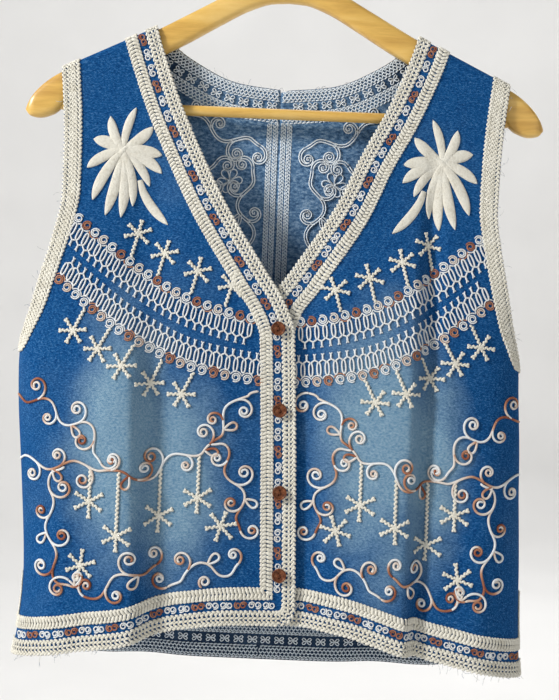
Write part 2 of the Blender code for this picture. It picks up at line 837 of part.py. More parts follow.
def build_buttons(piece, tree, collection, cutters):
    mesh = button_mesh()
    hole = cylinder_mesh("button_hole", BUTTON_HOLE / 2, BUTTON_THICK * 3, BUTTON_HOLE_SIDES)
    seat = LIFT + TRIM + BUTTON_CLEAR
    for k in range(BUTTON_COUNT):
        drop = BUTTON_FIRST_DROP + BUTTON_PITCH * k
        x = smooth_read(FRONT_EDGE, 1, drop) - BUTTON_FROM_EDGE
        place = on_facets(tree, -1, x, drop, 0.0)
        above = on_facets(tree, -1, x, drop - SLOPE_PROBE, 0.0)
        beside = on_facets(tree, -1, x + SLOPE_PROBE, drop, 0.0)
        normal = (beside - place).cross(above - place).normalized()
        if normal.y > 0:
            normal = -normal
        turn = Vector((0.0, 0.0, 1.0)).rotation_difference(normal)
        item = add_object("button_%d" % (k + 1), mesh.copy(), BROWN, collection)
        item.rotation_mode = "QUATERNION"
        item.rotation_quaternion = turn
        item.location = place + normal * seat * MM
        for number, across in enumerate((-1, 1)):
            cutter = add_cutter("button_%d_hole_%d" % (k + 1, number + 1), hole, cutters)
            cutter.rotation_mode = "QUATERNION"
            cutter.rotation_quaternion = turn
            offset = turn @ Vector((across * BUTTON_HOLE_SPREAD * MM, 0.0, 0.0))
            cutter.location = item.location + offset
            cut_with(item, cutter)


def build_hanger(collection, cutters):
    top = [(a, drop) for a, drop, _ in ARM_OUTLINE]
    bottom = [(a, drop) for a, _, drop in ARM_OUTLINE]
    right = top + bottom[::-1]
    left = [(-a, drop) for a, drop in right[::-1]]
    outline = []
    for a, drop in right[:-1] + left[:-1]:
        if outline and math.hypot(outline[-1][0] - a, outline[-1][1] - drop) < 0.01:
            continue
        outline.append((a, drop))
    mesh = bmesh.new()
    face = mesh.faces.new([mesh.verts.new((a * MM, -ARM_HALF_THICK * MM, -drop * MM)) for a, drop in outline])
    swept = bmesh.ops.extrude_face_region(mesh, geom=[face])
    for vertex in [g for g in swept["geom"] if isinstance(g, bmesh.types.BMVert)]:
        vertex.co.y = ARM_HALF_THICK * MM
    bmesh.ops.recalc_face_normals(mesh, faces=mesh.faces[:])
    data = bpy.data.meshes.new("hanger_arms")
    mesh.to_mesh(data)
    mesh.free()
    arms = add_object("hanger_arms", data, WOOD, collection)
    rounding = arms.modifiers.new("Rounded edges", "BEVEL")
    rounding.width = ARM_BEVEL * MM
    rounding.segments = 2
    rounding.limit_method = "ANGLE"
    rounding.angle_limit = math.radians(ARM_BEVEL_ANGLE)
    socket_length = 2 * (BAR_HALF + SOCKET_DEEP)
    socket = cylinder_mesh("bar_socket", BAR_DIAMETER / 2 + SOCKET_CLEAR, socket_length, BAR_SIDES)
    cutter = add_cutter("bar_socket", socket, cutters)
    cutter.rotation_euler = (0.0, math.pi / 2, 0.0)
    cutter.location = (0.0, 0.0, -BAR_DROP * MM)
    cut_with(arms, cutter)
    seat = cylinder_mesh("hook_seat", HOOK_WIRE / 2 + SOCKET_CLEAR, 2 * HOOK_SEAT, HOOK_SEAT_SIDES)
    cutter = add_cutter("hook_seat", seat, cutters)
    cutter.location = (0.0, 0.0, -CROWN_DROP * MM)
    cut_with(arms, cutter)
    bar_mesh = cylinder_mesh("trouser_bar", BAR_DIAMETER / 2, 2 * BAR_HALF, BAR_SIDES)
    bar = add_object("trouser_bar", bar_mesh, WOOD, collection)
    bar.rotation_euler = (0.0, math.pi / 2, 0.0)
    bar.location = (0.0, 0.0, -BAR_DROP * MM)


def hook_route():
    """Centre line of the hook: from its free end over the top, round and down into the arm."""
    middle = HOOK_WIRE / 2 - HOOK_RADIUS
    points = []
    first, last, step = HOOK_ARC
    for degrees in range(first, last + step, step):
        turn = math.radians(degrees)
        points.append((math.cos(turn) * HOOK_RADIUS, middle + math.sin(turn) * HOOK_RADIUS))
    points += [(x, middle - fall) for x, fall in HOOK_TAIL]
    points.append((0.0, -(CROWN_DROP + HOOK_SEAT - SOCKET_DEEP)))
    return points


def build_hook(collection):
    curve = bpy.data.curves.new("hook_line", "CURVE")
    curve.dimensions = "3D"
    curve.bevel_depth = HOOK_WIRE / 2 * MM
    curve.bevel_resolution = 1
    curve.use_fill_caps = True
    route = hook_route()
    line = curve.splines.new("POLY")
    line.points.add(len(route) - 1)
    for point, (x, z) in zip(line.points, route):
        point.co = (x * MM, 0.0, z * MM, 1.0)
    guide = bpy.data.objects.new("hook_line", curve)
    collection.objects.link(guide)
    mesh = evaluated_mesh(guide)
    bpy.data.objects.remove(guide, do_unlink=True)
    work = bmesh.new()
    work.from_mesh(mesh)
    bmesh.ops.remove_doubles(work, verts=work.verts[:], dist=0.00001)
    bmesh.ops.recalc_face_normals(work, faces=work.faces[:])
    work.to_mesh(mesh)
    work.free()
    mesh.materials.clear()
    add_object("hook", mesh, METAL, collection)


def pieces():
    front = {"facing": -1, "fullness": 1, "border": BORDER, "hem_border": FRONT_HEM_BORDER,
             "row_step": FRONT_ROW_STEP, "middle_columns": FRONT_MIDDLE_COLUMNS}
    back = {"facing": 1, "fullness": 2, "border": (0.0,), "hem_border": BACK_HEM_BORDER,
            "row_step": BACK_ROW_STEP, "middle_columns": BACK_MIDDLE_COLUMNS, "tucked": False,
            "creases": BACK_CREASES}
    return (
        dict(front, name="right_front", side=-1, tucked=False, creases=RIGHT_FRONT_CREASES),
        dict(front, name="left_front", side=1, tucked=True, creases=LEFT_FRONT_CREASES),
        dict(back, name="right_back", side=-1),
        dict(back, name="left_back", side=1),
    )


def main():
    clear_scene()
    parts = new_collection("denim_vest")
    cutters = new_collection("cutters")
    for piece in pieces():
        if piece["facing"] > 0:
            build_back(piece, parts)
            continue
        points = build_front(piece, parts)
        tree = surface_tree(piece, points)
        build_spray(piece, tree, parts)
        build_curved_leaf(piece, tree, parts)
        if not piece["tucked"]:
            build_buttons(piece, tree, parts, cutters)
    build_hanger(parts, cutters)
    build_hook(parts)


main()
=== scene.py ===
import math

import bpy
import numpy as np
from mathutils import Matrix, Vector


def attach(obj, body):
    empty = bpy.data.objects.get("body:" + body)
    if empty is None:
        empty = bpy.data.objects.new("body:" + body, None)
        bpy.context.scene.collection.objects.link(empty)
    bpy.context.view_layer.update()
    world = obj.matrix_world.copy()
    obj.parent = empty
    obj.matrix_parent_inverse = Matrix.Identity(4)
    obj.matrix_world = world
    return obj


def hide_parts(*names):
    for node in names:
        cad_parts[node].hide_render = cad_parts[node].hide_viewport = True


# Denim vest with crochet-look trims and corded embroidery on a wooden hanger.
# Cloth sizes are in millimetres: "drop" is the distance below the hook's inside top,
# "a" is the distance from the middle towards a piece's own side.
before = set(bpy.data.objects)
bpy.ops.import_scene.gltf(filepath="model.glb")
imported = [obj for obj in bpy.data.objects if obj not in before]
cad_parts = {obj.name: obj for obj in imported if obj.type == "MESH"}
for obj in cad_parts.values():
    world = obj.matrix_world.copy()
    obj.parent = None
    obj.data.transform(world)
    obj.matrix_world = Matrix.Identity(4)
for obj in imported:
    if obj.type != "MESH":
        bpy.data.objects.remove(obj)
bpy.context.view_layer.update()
mm = 0.001

vestForm = {
    "neckHalf": 112.5, "neckDrop": 112.0, "shoulderHalf": 191.7, "shoulderDrop": 150.5,
    "border": (0.0, 10.5, 18.5, 29.0),
    "backHemBorder": (0.0, 13.0, 23.0, 34.0),
    "frontHemBorder": (0.0, 12.0, 21.0, 31.0),
    "armholeBand": 16.0, "slitBand": 9.0, "centreBackBand": 9.0, "cornerRadius": 15.0, "centreBackX": -4.0,
    "seamGap": 0.02, "tuck": 4.8, "tuckFrom": 27.0, "tuckTo": 55.0,
    "armholeFoot": 396.0, "slitTop": 587.0, "slitOpen": 8.0, "backHemDrop": 665.0,
    "backHemRise": (130.0, 210.0, 10.0),
    "denimThick": 1.1,
}
frontEdge = (
    (112.0, -112.5, 112.5), (132.0, -106.0, 106.0), (175.0, -90.0, 88.5), (218.0, -70.0, 66.5),
    (257.0, -50.0, 49.5), (319.0, -10.5, 10.5), (344.0, 6.0, -6.0), (368.0, 15.5, -12.5),
    (385.0, 16.8, -13.0), (582.0, 25.0, -5.0), (613.0, 26.0, -4.0),
)
outline = (
    (150.5, 191.7), (198.0, 187.0), (230.0, 185.3), (263.5, 184.5), (295.5, 189.2), (330.0, 197.1),
    (361.0, 204.7), (387.5, 213.0), (396.0, 214.6), (445.0, 215.0), (505.0, 213.5), (592.0, 212.5),
    (620.0, 213.5), (665.0, 218.0),
)
sway = ((112.0, 0.0), (265.0, -1.0), (396.0, -4.5), (485.0, 0.0), (592.0, 5.0), (665.0, 3.0))
frontHem = (
    (0.0, 612.5), (30.0, 613.0), (70.0, 618.0), (90.0, 623.0), (114.0, 630.0), (150.0, 637.0),
    (190.0, 645.5), (225.0, 652.5),
)
backNeck = ((0.0, 158.5), (40.0, 154.0), (83.0, 135.0), (112.5, 112.0))
shoulderWrap = ((0.0, 0.02), (0.1, 4.0), (1.5, 7.0), (4.5, 8.3))
fullness = (
    (112.0, 0.0, 0.0), (150.0, 0.4, 3.4), (235.0, 6.0, 11.0), (335.0, 18.0, 20.0),
    (435.0, 26.0, 27.0), (535.0, 30.0, 31.0), (665.0, 34.0, 35.0),
)
# x at the top, x at the hem, drops where a crease starts, is full and fades, height, spreads
rightFrontCreases = (
    (-121.0, -109.0, 330.0, 440.0, 900.0, 13.0, 40.0, 13.0),
    (-101.0, -92.0, 340.0, 450.0, 900.0, -4.0, 9.0, 22.0),
    (-110.0, -110.0, 190.0, 260.0, 310.0, -4.0, 20.0, 20.0),
    (6.0, 12.0, 360.0, 430.0, 900.0, -5.0, 45.0, 45.0),
    (-176.0, -168.0, 420.0, 500.0, 900.0, 4.0, 18.0, 18.0),
)
leftFrontCreases = (
    (114.0, 112.0, 230.0, 400.0, 900.0, 9.0, 38.0, 8.0),
    (128.0, 125.0, 180.0, 330.0, 900.0, -7.0, 5.5, 9.0),
    (6.0, 12.0, 360.0, 430.0, 900.0, -5.0, 45.0, 45.0),
    (182.0, 176.0, 420.0, 500.0, 900.0, 4.0, 18.0, 18.0),
)
backCreases = (
    (-100.0, -106.0, 250.0, 400.0, 900.0, 7.0, 32.0, 26.0),
    (96.0, 102.0, 250.0, 400.0, 900.0, 7.0, 26.0, 32.0),
    (-160.0, -164.0, 330.0, 450.0, 900.0, -4.0, 20.0, 18.0),
    (158.0, 162.0, 330.0, 450.0, 900.0, -4.0, 18.0, 20.0),
)
# Softer wrinkles: x and drop of the middle, length, width, heading from level, height
softWrinkles = {
    "rightFront": ((-62, 566, 60, 9, 28, 1.3), (-40, 590, 50, 8, 24, 1.0), (-150, 470, 40, 12, -62, 0.9),
                   (-172, 560, 34, 9, -75, 0.9), (-30, 470, 36, 9, 60, 0.7), (-150, 420, 50, 10, -20, 0.6)),
    "leftFront": ((80, 560, 60, 10, -65, 0.9), (160, 470, 50, 10, 70, 0.8), (52, 600, 40, 9, -20, 0.9),
                  (190, 560, 44, 9, 80, 0.9), (70, 430, 40, 10, 55, 0.6)),
    "rightBack": ((-60, 480, 70, 12, 80, 0.9), (-140, 560, 60, 10, 72, 0.8), (-120, 300, 50, 12, -30, 0.6)),
    "leftBack": ((60, 520, 70, 12, -80, 0.9), (140, 460, 60, 10, -72, 0.8), (120, 290, 50, 12, 30, 0.6)),
}
seamSlope = (vestForm["shoulderDrop"] - vestForm["neckDrop"]) / (vestForm["shoulderHalf"] - vestForm["neckHalf"])


def smoothCurve(table, column):
    rows = np.array(table, float)
    x, y = rows[:, 0], rows[:, column]
    step = np.diff(x)
    slope = np.diff(y) / step
    tangent = np.zeros(len(x))
    for i in range(1, len(x) - 1):
        if slope[i - 1] * slope[i] > 0:
            w1 = 2 * step[i] + step[i - 1]
            w2 = step[i] + 2 * step[i - 1]
            tangent[i] = (w1 + w2) / (w1 / slope[i - 1] + w2 / slope[i])
    tangent[0], tangent[-1] = slope[0], slope[-1]
    at = np.linspace(x[0], x[-1], 1600)
    k = np.clip(np.searchsorted(x, at, side="right") - 1, 0, len(x) - 2)
    t = (at - x[k]) / step[k]
    h00 = (1 + 2 * t) * (1 - t) ** 2
    h10 = t * (1 - t) ** 2
    h01 = t * t * (3 - 2 * t)
    h11 = t * t * (t - 1)
    value = h00 * y[k] + h10 * step[k] * tangent[k] + h01 * y[k + 1] + h11 * step[k] * tangent[k + 1]
    return lambda p: np.interp(p, at, value)


readSway = smoothCurve(sway, 1)
readOutline = smoothCurve(outline, 1)
readFrontHem = smoothCurve(frontHem, 1)
readBackNeck = smoothCurve(backNeck, 1)
readFull = {1: smoothCurve(fullness, 1), 2: smoothCurve(fullness, 2)}
readEdge = {1: smoothCurve(frontEdge, 1), 2: smoothCurve(frontEdge, 2)}


def ease(start, end, at):
    t = np.clip((at - start) / (end - start), 0.0, 1.0)
    return t * t * (3 - 2 * t)


def seamDrop(a):
    return vestForm["neckDrop"] + seamSlope * (a - vestForm["neckHalf"])


def creaseHeight(cloth, x, drop):
    total = np.zeros_like(x)
    for xTop, xHem, start, full, fade, height, spreadMinus, spreadPlus in cloth["creases"]:
        along = ease(start, full, drop) * (1.0 - ease(fade, fade + 90.0, drop))
        middle = xTop + (xHem - xTop) * ease(start, vestForm["backHemDrop"], drop)
        spread = np.where(x < middle, spreadMinus, spreadPlus)
        total += height * along * np.exp(-((x - middle) / spread) ** 2)
    for px, pd, length, width, heading, height in softWrinkles[cloth["key"]]:
        c, s = math.cos(math.radians(heading)), math.sin(math.radians(heading))
        u = ((x - px) * c + (drop - pd) * s) / length
        v = (-(x - px) * s + (drop - pd) * c) / width
        total += height * np.exp(-u * u - v * v)
    return total


def standOut(cloth, x, drop):
    x, drop = np.broadcast_arrays(np.asarray(x, float), np.asarray(drop, float))
    wrap = np.interp(drop - seamDrop(cloth["side"] * x), *zip(*shoulderWrap))
    middle = readSway(drop)
    reach = readOutline(np.maximum(drop, vestForm["armholeFoot"]))
    across = np.clip((np.abs(x - middle) / reach - 0.55) / 0.45, 0.0, 1.0)
    closing = ease(200.0, vestForm["armholeFoot"] - 8.0, drop)
    share = 1.0 - closing * (1.0 - np.sqrt(1.0 - across ** 4))
    slit = np.maximum(0.0, drop - vestForm["slitTop"]) / (vestForm["backHemDrop"] - vestForm["slitTop"])
    edge = vestForm["seamGap"] + vestForm["slitOpen"] * slit
    full = wrap + readFull[cloth["fullness"]](drop) + creaseHeight(cloth, x, drop)
    if cloth["tucked"]:
        under = 1.0 - ease(vestForm["tuckFrom"], vestForm["tuckTo"], x)
        full = full - vestForm["tuck"] * under * ease(240.0, 300.0, drop)
    return edge * (1.0 - share) + full * share


def onCloth(cloth, path):
    path = np.asarray(path, float)
    x = cloth["side"] * path[..., 0]
    out = standOut(cloth, x, path[..., 1])
    return np.stack([x, cloth["facing"] * out, -path[..., 1]], axis=-1)


def clothFrame(cloth, path):
    # points on the cloth's outer face with the outward normal there
    path = np.asarray(path, float)
    small = 0.35
    inward = -np.sign(path[..., 0] - 60.0) * small
    here = onCloth(cloth, path)
    beside = onCloth(cloth, path + np.stack([inward, np.zeros_like(inward)], axis=-1)) - here
    below = onCloth(cloth, path + np.array((0.0, small))) - here
    normal = np.cross(beside, below)
    normal /= np.linalg.norm(normal, axis=-1)[..., None]
    flip = np.sign(normal[..., 1] * cloth["facing"])
    flip[flip == 0] = 1.0
    normal = normal * flip[..., None]
    if cloth.get("wrongSide"):
        return here - normal * vestForm["denimThick"], -normal
    return here, normal


frontCloth = {"facing": -1, "fullness": 1}
backCloth = {"facing": 1, "fullness": 2, "tucked": False, "creases": backCreases, "shift": 0.0}
cloths = {
    "rightFront": dict(frontCloth, key="rightFront", node="right_front", side=-1, tucked=False,
                       creases=rightFrontCreases, edgeColumn=1, shift=0.0),
    "leftFront": dict(frontCloth, key="leftFront", node="left_front", side=1, tucked=True,
                      creases=leftFrontCreases, edgeColumn=2, shift=18.0),
    "rightBack": dict(backCloth, key="rightBack", node="right_back", side=-1),
    "leftBack": dict(backCloth, key="leftBack", node="left_back", side=1),
}


def hemDrop(cloth, a):
    # the back's hem climbs a little towards its side corners
    if cloth["facing"] > 0:
        start, end, rise = vestForm["backHemRise"]
        return vestForm["backHemDrop"] - rise * ease(start, end, np.abs(np.asarray(a, float)))
    return readFrontHem(np.abs(a))


def hemBorder(cloth):
    return vestForm["backHemBorder"] if cloth["facing"] > 0 else vestForm["frontHemBorder"]


def innerPath(cloth):
    if cloth["facing"] < 0:
        drops = np.linspace(vestForm["neckDrop"], frontEdge[-1][0], 500)
        return np.stack([cloth["side"] * readEdge[cloth["edgeColumn"]](drops), drops], axis=1)
    start = centreEdge(cloth)
    across = np.linspace(vestForm["neckHalf"], start, 220)
    neck = np.stack([across, readBackNeck(np.abs(across))], axis=1)
    drops = np.linspace(neck[-1][1] + 1.0, vestForm["backHemDrop"], 300)
    return np.concatenate([neck, np.stack([np.full_like(drops, start), drops], axis=1)])


def centreEdge(cloth):
    return cloth["side"] * vestForm["centreBackX"] + vestForm["seamGap"] / 2


def outerPath(cloth):
    drops = np.linspace(vestForm["shoulderDrop"], outline[-1][0], 500)
    a = cloth["side"] * readSway(drops) * ease(vestForm["shoulderDrop"], 230.0, drops) + readOutline(drops)
    return np.stack([a, drops], axis=1)


def pathReader(cloth, path):
    path = path[path[:, 1] <= hemDrop(cloth, path[:, 0]) + 0.01]
    below = path[:, 1] - seamDrop(path[:, 0])
    return (lambda d: np.stack([np.interp(d, below, path[:, 0]), np.interp(d, below, path[:, 1])], axis=-1)), below[-1]


def prepareCloth(cloth):
    cloth["inner"], cloth["innerEnd"] = pathReader(cloth, innerPath(cloth))
    cloth["outer"], cloth["outerEnd"] = pathReader(cloth, outerPath(cloth))


def outerFor(cloth, d):
    # distance below the seam at the outer end of the row that starts at d
    first, band = 27.0, hemBorder(cloth)[-1]
    middle = first + (d - first) * (cloth["outerEnd"] - band - first) / (cloth["innerEnd"] - band - first)
    late = cloth["outerEnd"] - (cloth["innerEnd"] - d)
    return np.where(d < first, d, np.where(d > cloth["innerEnd"] - band, late, middle))


def rowEnds(cloth, d):
    d = np.asarray(d, float)
    return cloth["inner"](d), cloth["outer"](outerFor(cloth, d))


def edgeLine(cloth, d, offset):
    # line inside the neck and placket edge, or the centre-back edge
    start, end = rowEnds(cloth, d)
    ahead, _ = rowEnds(cloth, np.asarray(d) + 1.0)
    behind, _ = rowEnds(cloth, np.asarray(d) - 1.0)
    along = (ahead - behind) / np.linalg.norm(ahead - behind, axis=-1)[..., None]
    row = (end - start) / np.linalg.norm(end - start, axis=-1)[..., None]
    lean = np.abs(row[..., 0] * along[..., 1] - row[..., 1] * along[..., 0])
    return start + row * (offset / lean)[..., None]


def sideLine(cloth, d, offset):
    start, end = rowEnds(cloth, d)
    row = (end - start) / np.linalg.norm(end - start, axis=-1)[..., None]
    return end - row * np.asarray(offset)[..., None]


def roundedCorner(cloth, path):
    # bring points near the placket's foot inside a quarter circle
    if cloth["facing"] > 0:
        return path
    radius = vestForm["cornerRadius"]
    edge = cloth["side"] * readEdge[cloth["edgeColumn"]](path[..., 1])
    hem = hemDrop(cloth, path[..., 0])
    p = np.clip(1.0 - (path[..., 0] - edge) / radius, 0.0, 1.0)
    q = np.clip(1.0 - (hem - path[..., 1]) / radius, 0.0, 1.0)
    moved = path.copy()
    moved[..., 0] += radius * (p - p * np.sqrt(1 - q * q / 2))
    moved[..., 1] -= radius * (q - q * np.sqrt(1 - p * p / 2))
    return moved


def panelGrid(cloth, rows, columns):
    wrapRows = np.array((0.0, 0.1, 0.7, 1.5, 2.8, 4.5, 8.0))
    d = np.concatenate([wrapRows, np.linspace(12.0, cloth["innerEnd"], rows)])
    start, end = rowEnds(cloth, d)
    t = np.linspace(0.0, 1.0, columns)
    part = t * 0.55 + 0.45 * np.sin(t * math.pi / 2) ** 0.9
    part[-4:-1] = (0.985, 0.992, 0.9972)
    grid = start[:, None, :] * (1 - part)[None, :, None] + end[:, None, :] * part[None, :, None]
    chordStart = hemDrop(cloth, start[:, 0])[:, None]
    chordEnd = hemDrop(cloth, end[:, 0])[:, None]
    share = (grid[..., 0] - start[:, None, 0]) / (end[:, None, 0] - start[:, None, 0])
    chord = chordStart + (chordEnd - chordStart) * share
    shareDown = (outerFor(cloth, d) / cloth["outerEnd"])[:, None]
    grid[..., 1] += ease(0.55, 0.92, shareDown) * (hemDrop(cloth, grid[..., 0]) - chord)
    return roundedCorner(cloth, grid)


# Mesh gathering: a spool collects tubes and stitches and becomes one object
def newSpool():
    return {"points": [], "faces": [], "tone": [], "count": 0}


def spoolMesh(spool, name):
    points = np.concatenate(spool["points"]) * mm
    mesh = bpy.data.meshes.new(name)
    mesh.from_pydata(points.tolist(), [], spool["faces"])
    mesh.shade_smooth()
    tone = np.concatenate(spool["tone"])
    layer = mesh.attributes.new("yarnTone", "FLOAT_COLOR", "POINT")
    shade = np.stack([tone, tone, tone, np.ones_like(tone)], axis=1).astype(np.float32)
    layer.data.foreach_set("color", shade.ravel())
    return mesh


def addPiece(name, mesh, materials, nodes=()):
    item = bpy.data.objects.new(name, mesh)
    bpy.context.scene.collection.objects.link(item)
    mesh.materials.clear()
    for look in materials:
        mesh.materials.append(look)
    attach(item, "root")
    if nodes:
        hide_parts(*nodes)
    return item


def addTube(spool, centre, normal, width, height, tone, sides=5):
    count = len(centre)
    along = np.gradient(centre, axis=0)
    along /= np.linalg.norm(along, axis=1)[:, None] + 1e-9
    across = np.cross(along, normal)
    across /= np.linalg.norm(across, axis=1)[:, None] + 1e-9
    up = np.cross(across, along)
    width = np.broadcast_to(width, (count,)).copy()
    height = np.broadcast_to(height, (count,)).copy()
    width[[0, -1]] *= 0.45
    height[[0, -1]] *= 0.45
    turn = (np.arange(sides) + 0.5) * 2 * math.pi / sides + math.pi / 2
    ring = (centre[:, None, :] + across[:, None, :] * (np.cos(turn)[None, :, None] * width[:, None, None] / 2)
            + up[:, None, :] * (np.sin(turn)[None, :, None] * height[:, None, None] / 2))
    base = spool["count"]
    spool["points"].append(ring.reshape(-1, 3))
    i = np.arange(count - 1)[:, None] * sides
    k = np.arange(sides)[None, :]
    n = (k + 1) % sides
    quads = np.stack([i + k, i + n, i + sides + n, i + sides + k], axis=-1).reshape(-1, 4) + base
    spool["faces"] += quads.tolist()
    spool["faces"].append(list(range(base + sides - 1, base - 1, -1)))
    spool["faces"].append(list(range(base + (count - 1) * sides, base + count * sides)))
    spool["tone"].append(np.repeat(np.broadcast_to(tone, (count,)), sides))
    spool["count"] += count * sides


def addStitches(spool, centre, along, normal, length, width, height, tone, sides=5):
    # fat little stitches with rounded ends
    along = along / np.linalg.norm(along, axis=1)[:, None]
    across = np.cross(along, normal)
    across /= np.linalg.norm(across, axis=1)[:, None]
    up = np.cross(across, along)
    turn = np.arange(sides) * 2 * math.pi / sides + math.pi / 2
    shape = [(-0.5, 0.0, 0.0)]
    shape += [(-0.27, math.cos(t), math.sin(t)) for t in turn]
    shape += [(0.27, math.cos(t), math.sin(t)) for t in turn]
    shape += [(0.5, 0.0, 0.0)]
    shape = np.array(shape)
    count = len(centre)
    size = [np.broadcast_to(value, (count,)) for value in (length, width, height)]
    points = (centre[:, None, :] + along[:, None, :] * (shape[None, :, 0, None] * size[0][:, None, None])
              + across[:, None, :] * (shape[None, :, 1, None] * size[1][:, None, None] / 2)
              + up[:, None, :] * (shape[None, :, 2, None] * size[2][:, None, None] / 2))
    corners = len(shape)
    base = spool["count"] + np.arange(count)[:, None, None] * corners
    k = np.arange(sides)
    n = (k + 1) % sides
    near, far = 1, 1 + sides
    first = np.stack([np.zeros_like(k), near + n, near + k], axis=1)[None]
    body = np.stack([near + k, near + n, far + n, far + k], axis=1)[None]
    last = np.stack([far + k, far + n, np.full_like(k, corners - 1)], axis=1)[None]
    for part in (first, body, last):
        spool["faces"] += (base + part).reshape(-1, part.shape[-1]).tolist()
    spool["points"].append(points.reshape(-1, 3))
    spool["tone"].append(np.repeat(np.broadcast_to(tone, (count,)), corners))
    spool["count"] += count * corners


def pathLength(points):
    return np.concatenate(([0.0], np.cumsum(np.linalg.norm(np.diff(points, axis=0), axis=1))))


def resample(path, step):
    path = np.asarray(path, float)
    length = pathLength(path)
    count = max(3, int(round(length[-1] / step)) + 1)
    at = np.linspace(0.0, length[-1], count)
    return np.stack([np.interp(at, length, path[:, k]) for k in range(path.shape[1])], axis=1), at


def softened(points, step=2.0):
    # smooth path through a few given points
    points = np.asarray(points, float)
    ends = np.concatenate([[2 * points[0] - points[1]], points, [2 * points[-1] - points[-2]]])
    out = []
    for k in range(1, len(ends) - 2):
        p0, p1, p2, p3 = ends[k - 1:k + 3]
        count = max(3, int(np.linalg.norm(p2 - p1) / step) + 2)
        t = np.linspace(0, 1, count, endpoint=False)[:, None]
        out.append(0.5 * ((2 * p1) + (p2 - p0) * t + (2 * p0 - 5 * p1 + 4 * p2 - p3) * t ** 2
                          + (3 * p1 - p0 - 3 * p2 + p3) * t ** 3))
    out.append(points[-1:])
    return np.concatenate(out)


print("form ready")
for cloth in cloths.values():
    prepareCloth(cloth)


# Shader groups
def newGroup(name, inputs, outputs):
    group = bpy.data.node_groups.new(name, "ShaderNodeTree")
    for label, kind, value in inputs:
        socket = group.interface.new_socket(label, in_out="INPUT", socket_type=kind)
        if value is not None:
            socket.default_value = value
    for label, kind in outputs:
        group.interface.new_socket(label, in_out="OUTPUT", socket_type=kind)
    return group, group.nodes.new("NodeGroupInput"), group.nodes.new("NodeGroupOutput")


def addNode(tree, kind, settings=None, **inputs):
    node = tree.nodes.new(kind)
    for label, value in (settings or {}).items():
        setattr(node, label, value)
    for label, value in inputs.items():
        socket = node.inputs[int(label[1:])] if label[0] == "i" and label[1:].isdigit() else node.inputs[label]
        if hasattr(value, "is_output"):
            tree.links.new(value, socket)
        else:
            socket.default_value = value
    return node


def maths(tree, operation, first, second=0.0, third=0.0):
    return addNode(tree, "ShaderNodeMath", {"operation": operation}, i0=first, i1=second, i2=third).outputs[0]


def mixColour(tree, factor, first, second, blend="MIX"):
    node = tree.nodes.new("ShaderNodeMix")
    node.data_type = "RGBA"
    node.blend_type = blend
    for socket, value in ((node.inputs[0], factor), (node.inputs[6], first), (node.inputs[7], second)):
        if hasattr(value, "is_output"):
            tree.links.new(value, socket)
        else:
            socket.default_value = value
    return node.outputs[2]


def ramp(tree, factor, stops):
    node = tree.nodes.new("ShaderNodeValToRGB")
    tree.links.new(factor, node.inputs[0])
    while len(node.color_ramp.elements) < len(stops):
        node.color_ramp.elements.new(0.5)
    for element, (position, colour) in zip(node.color_ramp.elements, stops):
        element.position = position
        element.color = colour
    return node.outputs[0]


def makeTwillGroup():
    # diagonal ribs with heathered warp flecks, in object space
    group, source, result = newGroup("twillWeave", [
        ("Place", "NodeSocketVector", None), ("Rib Count", "NodeSocketFloat", 3600.0),
        ("Fleck Scale", "NodeSocketFloat", 1000.0)], [
        ("Rib", "NodeSocketFloat"), ("Fleck", "NodeSocketFloat"), ("Height", "NodeSocketFloat")])
    split = addNode(group, "ShaderNodeSeparateXYZ", Vector=source.outputs["Place"])
    lean = maths(group, "ADD", split.outputs[0], maths(group, "MULTIPLY", split.outputs[2], 0.8))
    wave = maths(group, "SINE", maths(group, "MULTIPLY", lean, source.outputs["Rib Count"]))
    rib = maths(group, "MULTIPLY_ADD", wave, 0.5, 0.5)
    stretched = addNode(group, "ShaderNodeCombineXYZ", X=maths(group, "MULTIPLY", split.outputs[0], 0.5),
                        Y=split.outputs[1], Z=split.outputs[2])
    noise = addNode(group, "ShaderNodeTexNoise", None, Vector=stretched.outputs[0],
                    Scale=source.outputs["Fleck Scale"], Detail=3.0, Roughness=0.7)
    coarse = addNode(group, "ShaderNodeTexNoise", None, Vector=stretched.outputs[0], Scale=420.0, Detail=2.0,
                     Roughness=0.6)
    fleck = maths(group, "MULTIPLY_ADD", noise.outputs[0], 0.88, maths(group, "MULTIPLY", coarse.outputs[0], 0.12))
    height = maths(group, "ADD", maths(group, "MULTIPLY", rib, 0.5), maths(group, "MULTIPLY", fleck, 0.6))
    group.links.new(rib, result.inputs["Rib"])
    group.links.new(fleck, result.inputs["Fleck"])
    group.links.new(height, result.inputs["Height"])
    return group


